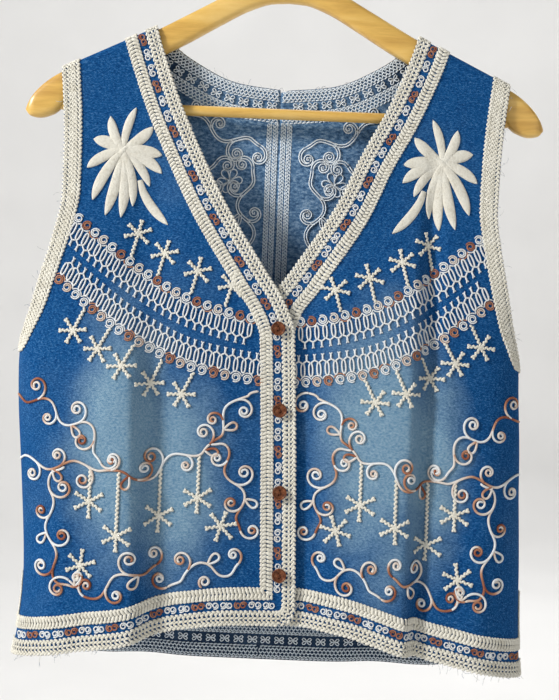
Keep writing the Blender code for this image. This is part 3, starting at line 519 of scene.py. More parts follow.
def makeWashAndShadeOvalGroup():
    # soft oval mask with an uneven rim: washed-out colour on the outside, painted shade on the wrong side
    group, source, result = newGroup("washAndShadeOval", [
        ("Place", "NodeSocketVector", None), ("Middle X", "NodeSocketFloat", 0.1),
        ("Middle Z", "NodeSocketFloat", -0.48), ("Half Width", "NodeSocketFloat", 0.06),
        ("Half Height", "NodeSocketFloat", 0.11)], [("Mask", "NodeSocketFloat")])
    split = addNode(group, "ShaderNodeSeparateXYZ", Vector=source.outputs["Place"])
    acrossAway = maths(group, "DIVIDE", maths(group, "SUBTRACT", split.outputs[0], source.outputs["Middle X"]),
                       source.outputs["Half Width"])
    downAway = maths(group, "DIVIDE", maths(group, "SUBTRACT", split.outputs[2], source.outputs["Middle Z"]),
                     source.outputs["Half Height"])
    away = maths(group, "SQRT", maths(group, "ADD", maths(group, "POWER", maths(group, "ABSOLUTE", acrossAway), 2.0),
                                      maths(group, "POWER", maths(group, "ABSOLUTE", downAway), 2.0)))
    drift = addNode(group, "ShaderNodeTexNoise", None, Vector=source.outputs["Place"], Scale=26.0, Detail=3.0,
                    Roughness=0.55)
    bent = maths(group, "ADD", away, maths(group, "MULTIPLY_ADD", drift.outputs[0], 0.9, -0.45))
    soft = addNode(group, "ShaderNodeMapRange", {"interpolation_type": "SMOOTHSTEP"}, i0=bent, i1=0.25, i2=1.35,
                   i3=1.0, i4=0.0)
    group.links.new(soft.outputs[0], result.inputs["Mask"])
    return group


def makeYarnGroup():
    # cotton cord: fine twisted strands and a little fuzz
    group, source, result = newGroup("cottonYarn", [
        ("Place", "NodeSocketVector", None), ("Strand Scale", "NodeSocketFloat", 900.0)], [
        ("Shade", "NodeSocketFloat"), ("Height", "NodeSocketFloat")])
    fine = addNode(group, "ShaderNodeTexNoise", None, Vector=source.outputs["Place"],
                   Scale=source.outputs["Strand Scale"], Detail=3.0, Roughness=0.7)
    broad = addNode(group, "ShaderNodeTexNoise", None, Vector=source.outputs["Place"], Scale=120.0, Detail=2.0)
    shade = maths(group, "MULTIPLY_ADD", fine.outputs[0], 0.6, maths(group, "MULTIPLY", broad.outputs[0], 0.4))
    group.links.new(shade, result.inputs["Shade"])
    group.links.new(fine.outputs[0], result.inputs["Height"])
    return group


def makeGrainGroup():
    # long wood grain running along X
    group, source, result = newGroup("woodGrain", [
        ("Place", "NodeSocketVector", None), ("Ring Scale", "NodeSocketFloat", 90.0)], [
        ("Grain", "NodeSocketFloat"), ("Pore", "NodeSocketFloat")])
    stretched = addNode(group, "ShaderNodeMapping", None, Vector=source.outputs["Place"])
    stretched.inputs["Scale"].default_value = (0.12, 1.0, 1.0)
    ring = addNode(group, "ShaderNodeTexNoise", None, Vector=stretched.outputs[0],
                   Scale=source.outputs["Ring Scale"], Detail=5.0, Roughness=0.6, Distortion=0.4)
    streak = addNode(group, "ShaderNodeMapping", None, Vector=source.outputs["Place"])
    streak.inputs["Scale"].default_value = (0.05, 1.0, 1.0)
    pore = addNode(group, "ShaderNodeTexNoise", None, Vector=streak.outputs[0], Scale=900.0, Detail=2.0)
    group.links.new(ring.outputs[0], result.inputs["Grain"])
    group.links.new(pore.outputs[0], result.inputs["Pore"])
    return group


groups = {"twill": makeTwillGroup(), "fade": makeWashAndShadeOvalGroup(), "yarn": makeYarnGroup(), "grain": makeGrainGroup()}


def newMaterial(name, roughness, **constants):
    look = bpy.data.materials.new(name)
    look.use_nodes = True
    tree = look.node_tree
    shader = tree.nodes["Principled BSDF"]
    shader.inputs["Roughness"].default_value = roughness
    for label, value in constants.items():
        shader.inputs[label].default_value = value
    place = tree.nodes.new("ShaderNodeTexCoord").outputs["Object"]
    return look, tree, shader, place


def placeGroup(tree, name, place, **values):
    node = tree.nodes.new("ShaderNodeGroup")
    node.node_tree = groups[name]
    tree.links.new(place, node.inputs["Place"])
    for label, value in values.items():
        node.inputs[label.replace("_", " ")].default_value = value
    return node


def bumpInto(tree, shader, height, strength, distance):
    bump = addNode(tree, "ShaderNodeBump", None, Height=height)
    bump.inputs["Strength"].default_value = strength
    bump.inputs["Distance"].default_value = distance
    tree.links.new(bump.outputs[0], shader.inputs["Normal"])


denimLook = {
    "deep": (0.002, 0.036, 0.145, 1.0), "mid": (0.008, 0.088, 0.265, 1.0), "fleck": (0.080, 0.215, 0.430, 1.0),
    "worn": (0.085, 0.205, 0.345, 1.0), "washed": (0.190, 0.325, 0.445, 1.0), "washedPale": (0.330, 0.465, 0.570, 1.0),
    "ovals": {
        "rightFront": ((-0.124, -0.462, 0.044, 0.108), (-0.078, -0.495, 0.040, 0.088)),
        "leftFront": ((0.088, -0.460, 0.050, 0.112), (0.130, -0.475, 0.034, 0.092)),
        "rightBack": ((-0.105, -0.480, 0.062, 0.115), (-0.07, -0.500, 0.040, 0.080)),
        "leftBack": ((0.105, -0.480, 0.062, 0.115), (0.07, -0.500, 0.040, 0.080)),
    },
}


def denimOutside(cloth):
    look, tree, shader, place = newMaterial("denim" + cloth["key"][0].upper() + cloth["key"][1:], 0.88)
    shader.inputs["Specular IOR Level"].default_value = 0.05
    twill = placeGroup(tree, "twill", place)
    base = ramp(tree, twill.outputs["Fleck"], [(0.37, denimLook["deep"]), (0.53, denimLook["mid"]),
                                               (0.72, denimLook["fleck"])])
    pale = ramp(tree, twill.outputs["Fleck"], [(0.36, denimLook["worn"]), (0.50, denimLook["washed"]),
                                               (0.70, denimLook["washedPale"])])
    mask = None
    for middleX, middleZ, halfWidth, halfHeight in denimLook["ovals"][cloth["key"]]:
        oval = placeGroup(tree, "fade", place, Middle_X=middleX, Middle_Z=middleZ, Half_Width=halfWidth,
                          Half_Height=halfHeight)
        mask = oval.outputs[0] if mask is None else maths(tree, "MAXIMUM", mask, oval.outputs[0])
    worn = addNode(tree, "ShaderNodeTexNoise", None, Vector=place, Scale=16.0, Detail=4.0)
    cloudy = maths(tree, "MULTIPLY_ADD", worn.outputs[0], 0.4, -0.19)
    factor = maths(tree, "MINIMUM", maths(tree, "MAXIMUM", maths(tree, "ADD", mask, cloudy), 0.0), 1.0)
    colour = mixColour(tree, factor, base, pale)
    ribShade = mixColour(tree, maths(tree, "MULTIPLY", twill.outputs["Rib"], 0.16), colour, (0.01, 0.03, 0.10, 1.0))
    tree.links.new(ribShade, shader.inputs["Base Color"])
    bumpInto(tree, shader, twill.outputs["Height"], 0.45, 0.0004)
    return look


def denimInside():
    look, tree, shader, place = newMaterial("denimWrongSide", 0.92)
    shader.inputs["Specular IOR Level"].default_value = 0.15
    twill = placeGroup(tree, "twill", place, Fleck_Scale=520.0)
    colour = ramp(tree, twill.outputs["Fleck"], [(0.36, (0.030, 0.080, 0.175, 1.0)), (0.50, (0.090, 0.190, 0.340, 1.0)),
                                                 (0.66, (0.280, 0.410, 0.570, 1.0))])
    # painted shade: the wrong side is darkened in a level band at the neck and another at the hem, under the nets
    for middleZ in (-0.122, -0.666):
        paintedShade = placeGroup(tree, "fade", place, Middle_X=0.0, Middle_Z=middleZ, Half_Width=0.9, Half_Height=0.045)
        colour = mixColour(tree, paintedShade.outputs[0], colour, (0.016, 0.036, 0.075, 1.0))
    tree.links.new(colour, shader.inputs["Base Color"])
    bumpInto(tree, shader, twill.outputs["Height"], 0.4, 0.0004)
    return look


yarnColours = {
    "cream": [(0.25, (0.560, 0.525, 0.430, 1.0)), (0.5, (0.770, 0.745, 0.655, 1.0)), (0.75, (0.850, 0.835, 0.770, 1.0))],
    "petal": [(0.30, (0.600, 0.565, 0.470, 1.0)), (0.5, (0.740, 0.715, 0.630, 1.0)), (0.70, (0.800, 0.785, 0.710, 1.0))],
    "reverse": [(0.25, (0.650, 0.760, 0.860, 1.0)), (0.5, (0.830, 0.900, 0.960, 1.0)), (0.75, (0.900, 0.940, 0.970, 1.0))],
    "stops": [(0.0, (0.760, 0.780, 0.790, 1.0)), (0.32, (0.720, 0.640, 0.570, 1.0)), (0.55, (0.500, 0.260, 0.160, 1.0)),
              (0.82, (0.270, 0.085, 0.045, 1.0)), (1.0, (0.130, 0.040, 0.025, 1.0))],
}


def plainYarn(name, colours, strandScale, depth):
    look, tree, shader, place = newMaterial(name, 0.88)
    shader.inputs["Specular IOR Level"].default_value = 0.2
    yarn = placeGroup(tree, "yarn", place, Strand_Scale=strandScale)
    tree.links.new(ramp(tree, yarn.outputs["Shade"], yarnColours[colours]), shader.inputs["Base Color"])
    bumpInto(tree, shader, yarn.outputs["Height"], 0.6, depth)
    return look


def frayYarn():
    look, tree, shader, place = newMaterial("looseThread", 0.9)
    yarn = placeGroup(tree, "yarn", place)
    tree.links.new(ramp(tree, yarn.outputs["Shade"], [(0.40, (0.060, 0.110, 0.220, 1.0)), (0.5, (0.420, 0.440, 0.450, 1.0)),
                                                      (0.56, (0.750, 0.740, 0.690, 1.0))]), shader.inputs["Base Color"])
    return look


def variegatedYarn():
    look, tree, shader, place = newMaterial("variegatedCord", 0.8)
    shader.inputs["Specular IOR Level"].default_value = 0.3
    yarn = placeGroup(tree, "yarn", place)
    tone = tree.nodes.new("ShaderNodeAttribute")
    tone.attribute_name = "yarnTone"
    shifted = maths(tree, "ADD", tone.outputs["Fac"], maths(tree, "MULTIPLY_ADD", yarn.outputs["Shade"], 0.16, -0.08))
    tree.links.new(ramp(tree, shifted, yarnColours["stops"]), shader.inputs["Base Color"])
    bumpInto(tree, shader, yarn.outputs["Height"], 0.5, 0.0004)
    return look


def woodLook():
    look, tree, shader, place = newMaterial("honeyWood", 0.38)
    shader.inputs["Coat Weight"].default_value = 0.25
    shader.inputs["Coat Roughness"].default_value = 0.25
    grain = placeGroup(tree, "grain", place)
    colour = ramp(tree, grain.outputs["Grain"], [(0.32, (0.560, 0.310, 0.060, 1.0)), (0.5, (0.740, 0.455, 0.105, 1.0)),
                                                 (0.68, (0.830, 0.560, 0.180, 1.0))])
    tree.links.new(colour, shader.inputs["Base Color"])
    bumpInto(tree, shader, grain.outputs["Pore"], 0.15, 0.0003)
    return look


def buttonLook():
    look, tree, shader, place = newMaterial("brownButton", 0.4)
    shader.inputs["Specular IOR Level"].default_value = 0.25
    noise = addNode(tree, "ShaderNodeTexNoise", None, Vector=place, Scale=420.0, Detail=4.0, Roughness=0.6)
    colour = ramp(tree, noise.outputs[0], [(0.35, (0.070, 0.018, 0.007, 1.0)), (0.55, (0.160, 0.050, 0.020, 1.0)),
                                           (0.7, (0.290, 0.115, 0.050, 1.0))])
    tree.links.new(colour, shader.inputs["Base Color"])
    bumpInto(tree, shader, noise.outputs[0], 0.15, 0.0002)
    return look


def steelLook():
    look, tree, shader, place = newMaterial("hookSteel", 0.28, Metallic=1.0)
    noise = addNode(tree, "ShaderNodeTexNoise", None, Vector=place, Scale=600.0, Detail=3.0)
    colour = ramp(tree, noise.outputs[0], [(0.3, (0.50, 0.50, 0.50, 1.0)), (0.7, (0.72, 0.72, 0.71, 1.0))])
    tree.links.new(colour, shader.inputs["Base Color"])
    bumpInto(tree, shader, noise.outputs[0], 0.05, 0.0002)
    return look


looks = {
    "inside": denimInside(), "trim": plainYarn("crochetCotton", "cream", 900.0, 0.0004),
    "applique": plainYarn("starCotton", "cream", 900.0, 0.0004), "petal": plainYarn("leafCotton", "petal", 520.0, 0.0014),
    "thread": plainYarn("reverseThread", "reverse", 900.0, 0.0003), "cord": variegatedYarn(), "fray": frayYarn(),
    "wood": woodLook(), "button": buttonLook(), "steel": steelLook(),
}
print("materials ready")

# Cloth panels
panelPlan = {"rows": 104, "columns": 80}


def quadFaces(rows, columns, flip):
    i = np.arange(rows - 1)[:, None] * columns
    j = np.arange(columns - 1)[None, :]
    quads = np.stack([i + j, i + j + 1, i + columns + j + 1, i + columns + j], axis=-1).reshape(-1, 4)
    return quads[:, ::-1] if flip else quads


def buildPanel(cloth):
    grid = panelGrid(cloth, panelPlan["rows"], panelPlan["columns"])
    points = onCloth(cloth, grid) * mm
    rows, columns = grid.shape[:2]
    mesh = bpy.data.meshes.new(cloth["key"])
    mesh.from_pydata(points.reshape(-1, 3).tolist(), [],
                     quadFaces(rows, columns, cloth["side"] * cloth["facing"] < 0).tolist())
    mesh.shade_smooth()
    item = addPiece(cloth["key"] + "Cloth", mesh, [denimOutside(cloth), looks["inside"]], [cloth["node"]])
    wall = item.modifiers.new("Wall", "SOLIDIFY")
    wall.thickness = vestForm["denimThick"] * mm
    wall.offset = -1.0
    wall.material_offset = 1
    wall.material_offset_rim = 0
    step = np.cross(points[1:, :-1] - points[:-1, :-1], points[:-1, 1:] - points[:-1, :-1])
    area = float(np.linalg.norm(step, axis=-1).sum())
    width = float(grid[..., 0].max() - grid[..., 0].min()) * mm
    length = float(grid[..., 1].max() - grid[..., 1].min()) * mm
    cloth["item"], cloth["area"], cloth["flat"] = item, area, (width, length)
    print("panel", cloth["key"], "cut", round(width, 3), round(length, 3), "area", round(area, 4))
    return item


for cloth in cloths.values():
    buildPanel(cloth)

# Narrow welts over the shoulder seams and the closed part of the side seams
seamPlan = {"width": 3.6, "height": 1.3, "count": 60}


def buildSeams(cloth):
    count, side = seamPlan["count"], cloth["side"]
    spool = newSpool()
    a = np.linspace(vestForm["neckHalf"] + 0.5, vestForm["shoulderHalf"] - 0.5, count)
    shoulder = np.stack([side * a, np.zeros(count), -seamDrop(a)], axis=1)
    addTube(spool, shoulder, np.tile((0.0, 0.0, 1.0), (count, 1)), seamPlan["width"], seamPlan["height"], 0.5)
    drops = np.linspace(vestForm["armholeFoot"] + 1.0, vestForm["slitTop"], count)
    edge = cloth["outer"](np.interp(drops, outerPath(cloth)[:, 1], outerPath(cloth)[:, 1] - seamDrop(outerPath(cloth)[:, 0])))
    down = np.stack([side * edge[:, 0], np.zeros(count), -edge[:, 1]], axis=1)
    addTube(spool, down, np.tile((float(side), 0.0, 0.0), (count, 1)), seamPlan["width"], seamPlan["height"], 0.5)
    look = cloth["item"].data.materials[0]
    cloth["trims"].append(addPiece(cloth["key"] + "Seams", spoolMesh(spool, "seams"), [look]))


# Crochet-look bands: share across the band, heading from its line, length, width, phase
bandPlan = {
    "outer": {"pitch": 3.8, "height": 1.6, "rows": (
        (0.07, 28, 4.3, 2.3, 0.0), (0.21, -28, 4.3, 2.1, 0.5), (0.355, 88, 2.8, 1.8, 0.0),
        (0.50, 8, 4.2, 2.0, 0.5), (0.645, 88, 2.8, 1.8, 0.0), (0.79, 28, 4.3, 2.1, 0.0),
        (0.93, -28, 4.3, 2.3, 0.5))},
    "inner": {"pitch": 3.2, "height": 1.7, "rows": (
        (0.08, 24, 3.8, 2.0, 0.5), (0.29, 70, 5.9, 2.8, 0.0), (0.695, 110, 5.9, 2.8, 0.0),
        (0.92, -24, 3.8, 2.0, 0.5))},
    "armhole": {"pitch": 3.6, "height": 1.6, "rows": (
        (0.05, 28, 4.2, 2.2, 0.0), (0.14, -28, 4.2, 2.1, 0.5), (0.235, 82, 2.7, 1.4, 0.0),
        (0.33, 28, 4.2, 2.2, 0.5), (0.43, -28, 4.2, 2.2, 0.0), (0.53, 28, 4.2, 2.2, 0.5),
        (0.63, -28, 4.2, 2.2, 0.0), (0.725, 28, 4.2, 2.1, 0.5), (0.805, 82, 2.7, 1.4, 0.0),
        (0.89, 28, 4.2, 2.1, 0.5), (0.965, -28, 4.2, 2.2, 0.0))},
    "slit": {"pitch": 2.7, "height": 1.5, "rows": (
        (0.12, 30, 3.8, 2.3, 0.0), (0.37, -30, 3.8, 2.3, 0.5), (0.63, 30, 3.8, 2.3, 0.0),
        (0.88, -30, 3.8, 2.3, 0.5))},
    "wrongSide": {"pitch": 3.6, "height": 0.7, "sides": 3, "rows": (
        (0.06, 12, 3.9, 1.5, 0.0), (0.22, 50, 3.6, 1.3, 0.0), (0.22, -50, 3.6, 1.3, 0.5),
        (0.47, 50, 3.6, 1.3, 0.5), (0.47, -50, 3.6, 1.3, 0.0), (0.72, 50, 3.6, 1.3, 0.0),
        (0.72, -50, 3.6, 1.3, 0.5), (0.93, 12, 3.9, 1.5, 0.5))},
    "wrongStrip": {"pitch": 3.0, "height": 0.7, "sides": 3, "rows": (
        (0.12, 12, 3.4, 1.4, 0.0), (0.5, 58, 3.1, 1.2, 0.0), (0.5, -58, 3.1, 1.2, 0.5),
        (0.88, 12, 3.4, 1.4, 0.5))},
}
chance = np.random.default_rng(17)


def layBand(spool, cloth, near, far, kind):
    plan = bandPlan[kind]
    middle = onCloth(cloth, (near + far) / 2)
    length = pathLength(middle)
    count = max(2, int(length[-1] / plan["pitch"]))
    for place, lean, long, wide, phase in plan["rows"]:
        at = (np.arange(count) + 0.25 + phase * 0.999) * length[-1] / (count + 0.5)
        pick = [np.stack([np.interp(at, length, line[:, k]) for k in range(2)], axis=1) for line in (near, far)]
        ahead = [np.stack([np.interp(at + 0.8, length, line[:, k]) for k in range(2)], axis=1) for line in (near, far)]
        behind = [np.stack([np.interp(at - 0.8, length, line[:, k]) for k in range(2)], axis=1) for line in (near, far)]
        path = pick[0] * (1 - place) + pick[1] * place
        centre, normal = clothFrame(cloth, path)
        along = onCloth(cloth, ahead[0] * (1 - place) + ahead[1] * place)
        along = along - onCloth(cloth, behind[0] * (1 - place) + behind[1] * place)
        along /= np.linalg.norm(along, axis=1)[:, None] + 1e-9
        across = np.cross(normal, along)
        angle = np.radians(lean + chance.normal(0.0, 4.0, count))[:, None]
        heading = along * np.cos(angle) + across * np.sin(angle)
        lift = plan["height"] * 0.42 + chance.normal(0.0, 0.07, count)
        grow = 1.0 + chance.normal(0.0, 0.05, count)
        tone = np.clip(0.5 + chance.normal(0.0, 0.2, count), 0, 1)
        addStitches(spool, centre + normal * lift[:, None], heading, normal, long * grow, wide * grow,
                    plan["height"] * grow, tone, plan.get("sides", 5))


def cornerLine(cloth, offset):
    # along the neck and placket, round the foot, then along the hem
    hemOffset = np.interp(offset, vestForm["border"], vestForm["frontHemBorder"])
    d = np.linspace(0.0, cloth["innerEnd"] + 30.0, 900)
    down = edgeLine(cloth, np.minimum(d, cloth["innerEnd"]), offset)
    keep = down[:, 1] < hemDrop(cloth, down[:, 0]) - hemOffset - max(vestForm["cornerRadius"] - offset, 1.0)
    down = down[keep]
    top, _ = resample(down, 2.0)
    endA = cloth["outer"](cloth["outerEnd"])[0]
    startA = down[-1][0] + max(vestForm["cornerRadius"] - offset, 1.0)
    across = np.linspace(startA, endA - 0.3, 420)
    hem = np.stack([across, hemDrop(cloth, across) - hemOffset], axis=1)
    corner = np.array((down[-1][0], hem[0][1]))
    t = np.linspace(0, 1, 12)[1:-1, None]
    bend = (1 - t) ** 2 * down[-1] + 2 * t * (1 - t) * corner + t * t * hem[0]
    return top, bend, hem


def matched(first, second, count):
    # the same number of points along two lines
    lines = []
    for line in (first, second):
        length = pathLength(line)
        at = np.linspace(0.0, length[-1], count)
        lines.append(np.stack([np.interp(at, length, line[:, k]) for k in range(2)], axis=1))
    return lines


def borderLines(cloth, nearOffset, farOffset):
    near, far = cornerLine(cloth, nearOffset), cornerLine(cloth, farOffset)
    parts = [matched(a, b, n) for a, b, n in zip(near, far, (420, 16, 400))]
    return [np.concatenate([part[k] for part in parts]) for k in range(2)]


def sideInset(cloth, d, reach):
    # how far in to go so that the cloth itself measures "reach" from its side edge
    steps = np.linspace(0.0, reach, 25)
    rows = np.stack([sideLine(cloth, d, np.full_like(d, step)) for step in steps], axis=1)
    walked = np.cumsum(np.linalg.norm(np.diff(onCloth(cloth, rows), axis=1), axis=2), axis=1)
    return np.array([np.interp(reach, np.concatenate(([0.0], line)), steps) for line in walked])


def sideLines(cloth, top, bottom, near, far):
    d = np.linspace(0.0, cloth["innerEnd"], 1200)
    outer = cloth["outer"](outerFor(cloth, d))
    d = d[(outer[:, 1] >= top) & (outer[:, 1] <= bottom)]
    return [sideLine(cloth, d, sideInset(cloth, d, reach)) for reach in (near, far)]


def bandPiece(cloth, label, node, near, far, kind):
    spool = newSpool()
    layBand(spool, cloth, near, far, kind)
    item = addPiece(cloth["key"] + label, spoolMesh(spool, cloth["key"] + label), [looks["trim"]], [node])
    return item


def buildFrontBands(cloth):
    border, node = vestForm["border"], cloth["node"]
    items = [
        bandPiece(cloth, "EdgeBand", node + "_edge_band", *borderLines(cloth, border[0], border[1]), "outer"),
        bandPiece(cloth, "InnerBand", node + "_inner_band", *borderLines(cloth, border[2], border[3]), "inner"),
    ]
    return items + buildSideBands(cloth)


def buildSideBands(cloth):
    node = cloth["node"]
    foot = vestForm["armholeFoot"]
    armhole = sideLines(cloth, vestForm["shoulderDrop"] - 0.1, foot + 1.0, 0.5, vestForm["armholeBand"])
    hem = float(hemDrop(cloth, cloth["outer"](cloth["outerEnd"])[0]))
    slit = sideLines(cloth, vestForm["slitTop"] - 4.0, hem - hemBorder(cloth)[-1] + 1.0, 0.5, vestForm["slitBand"])
    return [
        bandPiece(cloth, "ArmholeBand", node + "_armhole_band", *armhole, "armhole"),
        bandPiece(cloth, "SlitBand", node + "_slit_band", *slit, "slit"),
    ]


def neckLine(cloth, offset):
    start = centreEdge(cloth)
    across = np.linspace(vestForm["neckHalf"], start, 240)
    line = np.stack([across, readBackNeck(np.abs(across))], axis=1)
    along = np.gradient(line, axis=0)
    along /= np.linalg.norm(along, axis=1)[:, None]
    moved = line + np.stack([along[:, 1], -along[:, 0]], axis=1) * offset
    moved = moved[(moved[:, 1] - seamDrop(moved[:, 0]) > 0.0) & (moved[:, 0] > start)]
    first = edgeLine(cloth, np.array([0.0, 1.0]), offset)[:1]
    return np.concatenate([first, moved[2:], [[start, moved[-1][1]]]])


def buildBackBands(cloth):
    border, node = vestForm["border"], cloth["node"]
    start = centreEdge(cloth)
    items = []
    for label, name, near, far, kind in (("NeckBand", "_neck_band", border[0], border[1], "outer"),
                                         ("NeckInnerBand", "_neck_inner_band", border[2], border[3], "inner")):
        items.append(bandPiece(cloth, label, node + name, *matched(neckLine(cloth, near), neckLine(cloth, far), 300), kind))
    top = float(readBackNeck(abs(start))) + border[3] + 1.0
    drops = np.linspace(top, vestForm["backHemDrop"] - vestForm["backHemBorder"][3] - 1.0, 400)
    near = np.stack([np.full_like(drops, start + 0.4), drops], axis=1)
    far = near + np.array((vestForm["centreBackBand"], 0.0))
    items.append(bandPiece(cloth, "CentreBand", node + "_centre_band", near, far, "outer"))
    endA = cloth["outer"](cloth["outerEnd"])[0]
    across = np.linspace(start, endA - 0.3, 420)
    offsets = vestForm["backHemBorder"]
    for label, name, low, high, kind in (("HemBand", "_hem_band", offsets[0], offsets[1], "outer"),
                                         ("HemInnerBand", "_hem_inner_band", offsets[2], offsets[3], "inner")):
        near = np.stack([across, hemDrop(cloth, across) - low], axis=1)
        far = np.stack([across, hemDrop(cloth, across) - high], axis=1)
        items.append(bandPiece(cloth, label, node + name, near, far, kind))
    return items + buildSideBands(cloth)


for key, cloth in cloths.items():
    cloth["trims"] = buildFrontBands(cloth) if cloth["facing"] < 0 else buildBackBands(cloth)
for key in ("rightFront", "leftFront"):
    buildSeams(cloths[key])
print("bands and seams ready")

# Corded embroidery
cordPlan = {
    "scrollWidth": 2.15, "loopWidth": 1.75, "starStitch": (3.3, 2.2, 1.7), "step": 1.1,
    "rosetteRadius": 4.05, "stripRadius": 2.95, "ringCord": 1.4,
}


def placedOn(cloth, path, share=1.0):
    # the left front's motifs sit further from the middle than the right front's
    path = np.asarray(path, float).copy()
    path[..., 0] += cloth["shift"] * share * (1.0 - 0.7 * ease(30.0, 185.0, path[..., 0]))
    return path


def layCord(spool, cloth, path, width, tone, base=0.0, knot=0.14, period=1.9, step=None, flat=0.8, sides=5):
    path, at = resample(path, step or cordPlan["step"])
    centre, normal = clothFrame(cloth, path)
    swell = 1.0 + knot * np.sin(at * 2 * math.pi / period)
    height = width * flat
    lift = base + height * 0.42
    shade = np.interp(np.linspace(0, 1, len(at)), np.linspace(0, 1, len(np.atleast_1d(tone))), np.atleast_1d(tone))
    addTube(spool, centre + normal * lift, normal, width * swell, height * swell, shade, sides)


def layKnobs(spool, cloth, start, end, fork=True):
    # a row of short slanted stitches with a split end
    start, end = np.asarray(start, float), np.asarray(end, float)
    length = np.linalg.norm(end - start)
    along = (end - start) / length
    across = np.array((-along[1], along[0]))
    count = max(3, int(round(length / 1.8)))
    at = (np.arange(count) + 0.5) / count
    hand = np.where(np.arange(count) % 2, 1.0, -1.0)
    centre = start + (end - start) * at[:, None] + across * (hand * 0.45)[:, None]
    heading = along + across * (hand * 0.5)[:, None]
    if fork:
        centre = np.concatenate([centre, [end + across * 0.75, end - across * 0.75]])
        heading = np.concatenate([heading, [along + across * 0.65, along - across * 0.65]])
    place, normal = clothFrame(cloth, centre)
    far = onCloth(cloth, centre + heading * 0.4)
    near = onCloth(cloth, centre - heading * 0.4)
    long, wide, high = cordPlan["starStitch"]
    tone = np.clip(0.5 + chance.normal(0.0, 0.2, len(centre)), 0, 1)
    addStitches(spool, place + normal * high * 0.45, far - near, normal, long, wide, high, tone)


def layStar(spool, cloth, centre, reach, stem, tilt):
    # six knobbly arms, one of them drawn out into the stem
    centre = np.asarray(centre, float)
    heading = tilt if stem is None else math.atan2(stem[1] - centre[1], stem[0] - centre[0])
    for k in range(6):
        angle = heading + k * math.pi / 3 + chance.normal(0.0, 0.04)
        if k == 0 and stem is not None:
            layKnobs(spool, cloth, centre, stem, fork=False)
            continue
        long = reach * (0.92 + 0.1 * chance.random())
        layKnobs(spool, cloth, centre, centre + np.array((math.cos(angle), math.sin(angle))) * long)


def rosette(centre, radius, turns, start):
    t = np.linspace(0.0, 1.0, 30)
    angle = start + t * turns * 2 * math.pi
    reach = radius * (1.0 - 0.66 * t)
    return np.stack([centre[0] + np.cos(angle) * reach, centre[1] + np.sin(angle) * reach], axis=1)


garland = {
    "upper": ((6.0, 361.0), (16.0, 360.0), (70.0, 346.5), (114.0, 323.0), (160.0, 289.0), (190.0, 264.0)),
    "lower": ((6.0, 412.0), (16.0, 411.0), (67.0, 402.5), (120.0, 379.5), (174.0, 341.0), (208.0, 310.0)),
    "rosettePitch": 9.5, "loopPitch": 6.8, "loopStart": 4.4, "loopLong": 11.2, "loopHalf": 1.6, "knotFall": 6.6,
    "upperTones": (0.0, 0.72, 0.0, 0.25), "lowerTones": (0.66, 0.36, 0.0, 0.0), "cupRadius": 4.9,
}


def clearOfBands(cloth, path, margin):
    # keep points inside the inner band and the armhole band
    below = path[:, 1] - seamDrop(path[:, 0])
    sample = np.linspace(0.0, cloth["innerEnd"], 500)
    start, end = edgeLine(cloth, sample, vestForm["border"][-1]), rowEnds(cloth, sample)[1]
    low = np.interp(path[:, 1], start[:, 1], start[:, 0])
    if cloth["facing"] > 0:
        low = np.full_like(low, centreEdge(cloth) + vestForm["centreBackBand"])
        neck = readBackNeck(np.clip(np.abs(path[:, 0]), 0.0, vestForm["neckHalf"])) + vestForm["border"][-1]
        below = np.where(np.abs(path[:, 0]) < 96.0, path[:, 1] - neck - margin, below - 10.0)
    band = np.where(path[:, 1] < vestForm["armholeFoot"] + 8.0, vestForm["armholeBand"] + 0.5, 0.0)
    high = np.interp(path[:, 1], end[:, 1], end[:, 0]) - band
    foot = hemDrop(cloth, path[:, 0]) - hemBorder(cloth)[-1] - margin
    return (path[:, 0] > low + margin) & (path[:, 0] < high - margin) & (below > 0) & (path[:, 1] < foot)


def squareTo(path, direction):
    along = np.gradient(path, axis=0)
    along /= np.linalg.norm(along, axis=1)[:, None]
    return along, np.stack([-along[:, 1], along[:, 0]], axis=1) * direction


def layGarlandRings(cords, cloth, path, direction, tones):
    centres, _ = resample(path, garland["rosettePitch"])
    along, square = squareTo(centres, direction)
    for k, centre in enumerate(centres):
        tone = tones[(len(centres) - 1 - k) % 4]
        shades = np.clip(tone + np.array((0.0, 0.08, -0.1, 0.05)), 0, 1) if tone else 0.0
        away = math.atan2(square[k][1], square[k][0])
        layCord(cords, cloth, rosette(centre, cordPlan["rosetteRadius"], 1.9, away + 2.6), cordPlan["ringCord"], shades, step=1.0,
                sides=4)
        sweep = away + np.linspace(-1.25, 1.25, 14)
        cup = centre + np.stack([np.cos(sweep), np.sin(sweep)], axis=1) * garland["cupRadius"]
        layCord(cords, cloth, cup, 1.3, 0.0 if k % 4 else 0.6, step=1.1, sides=4)


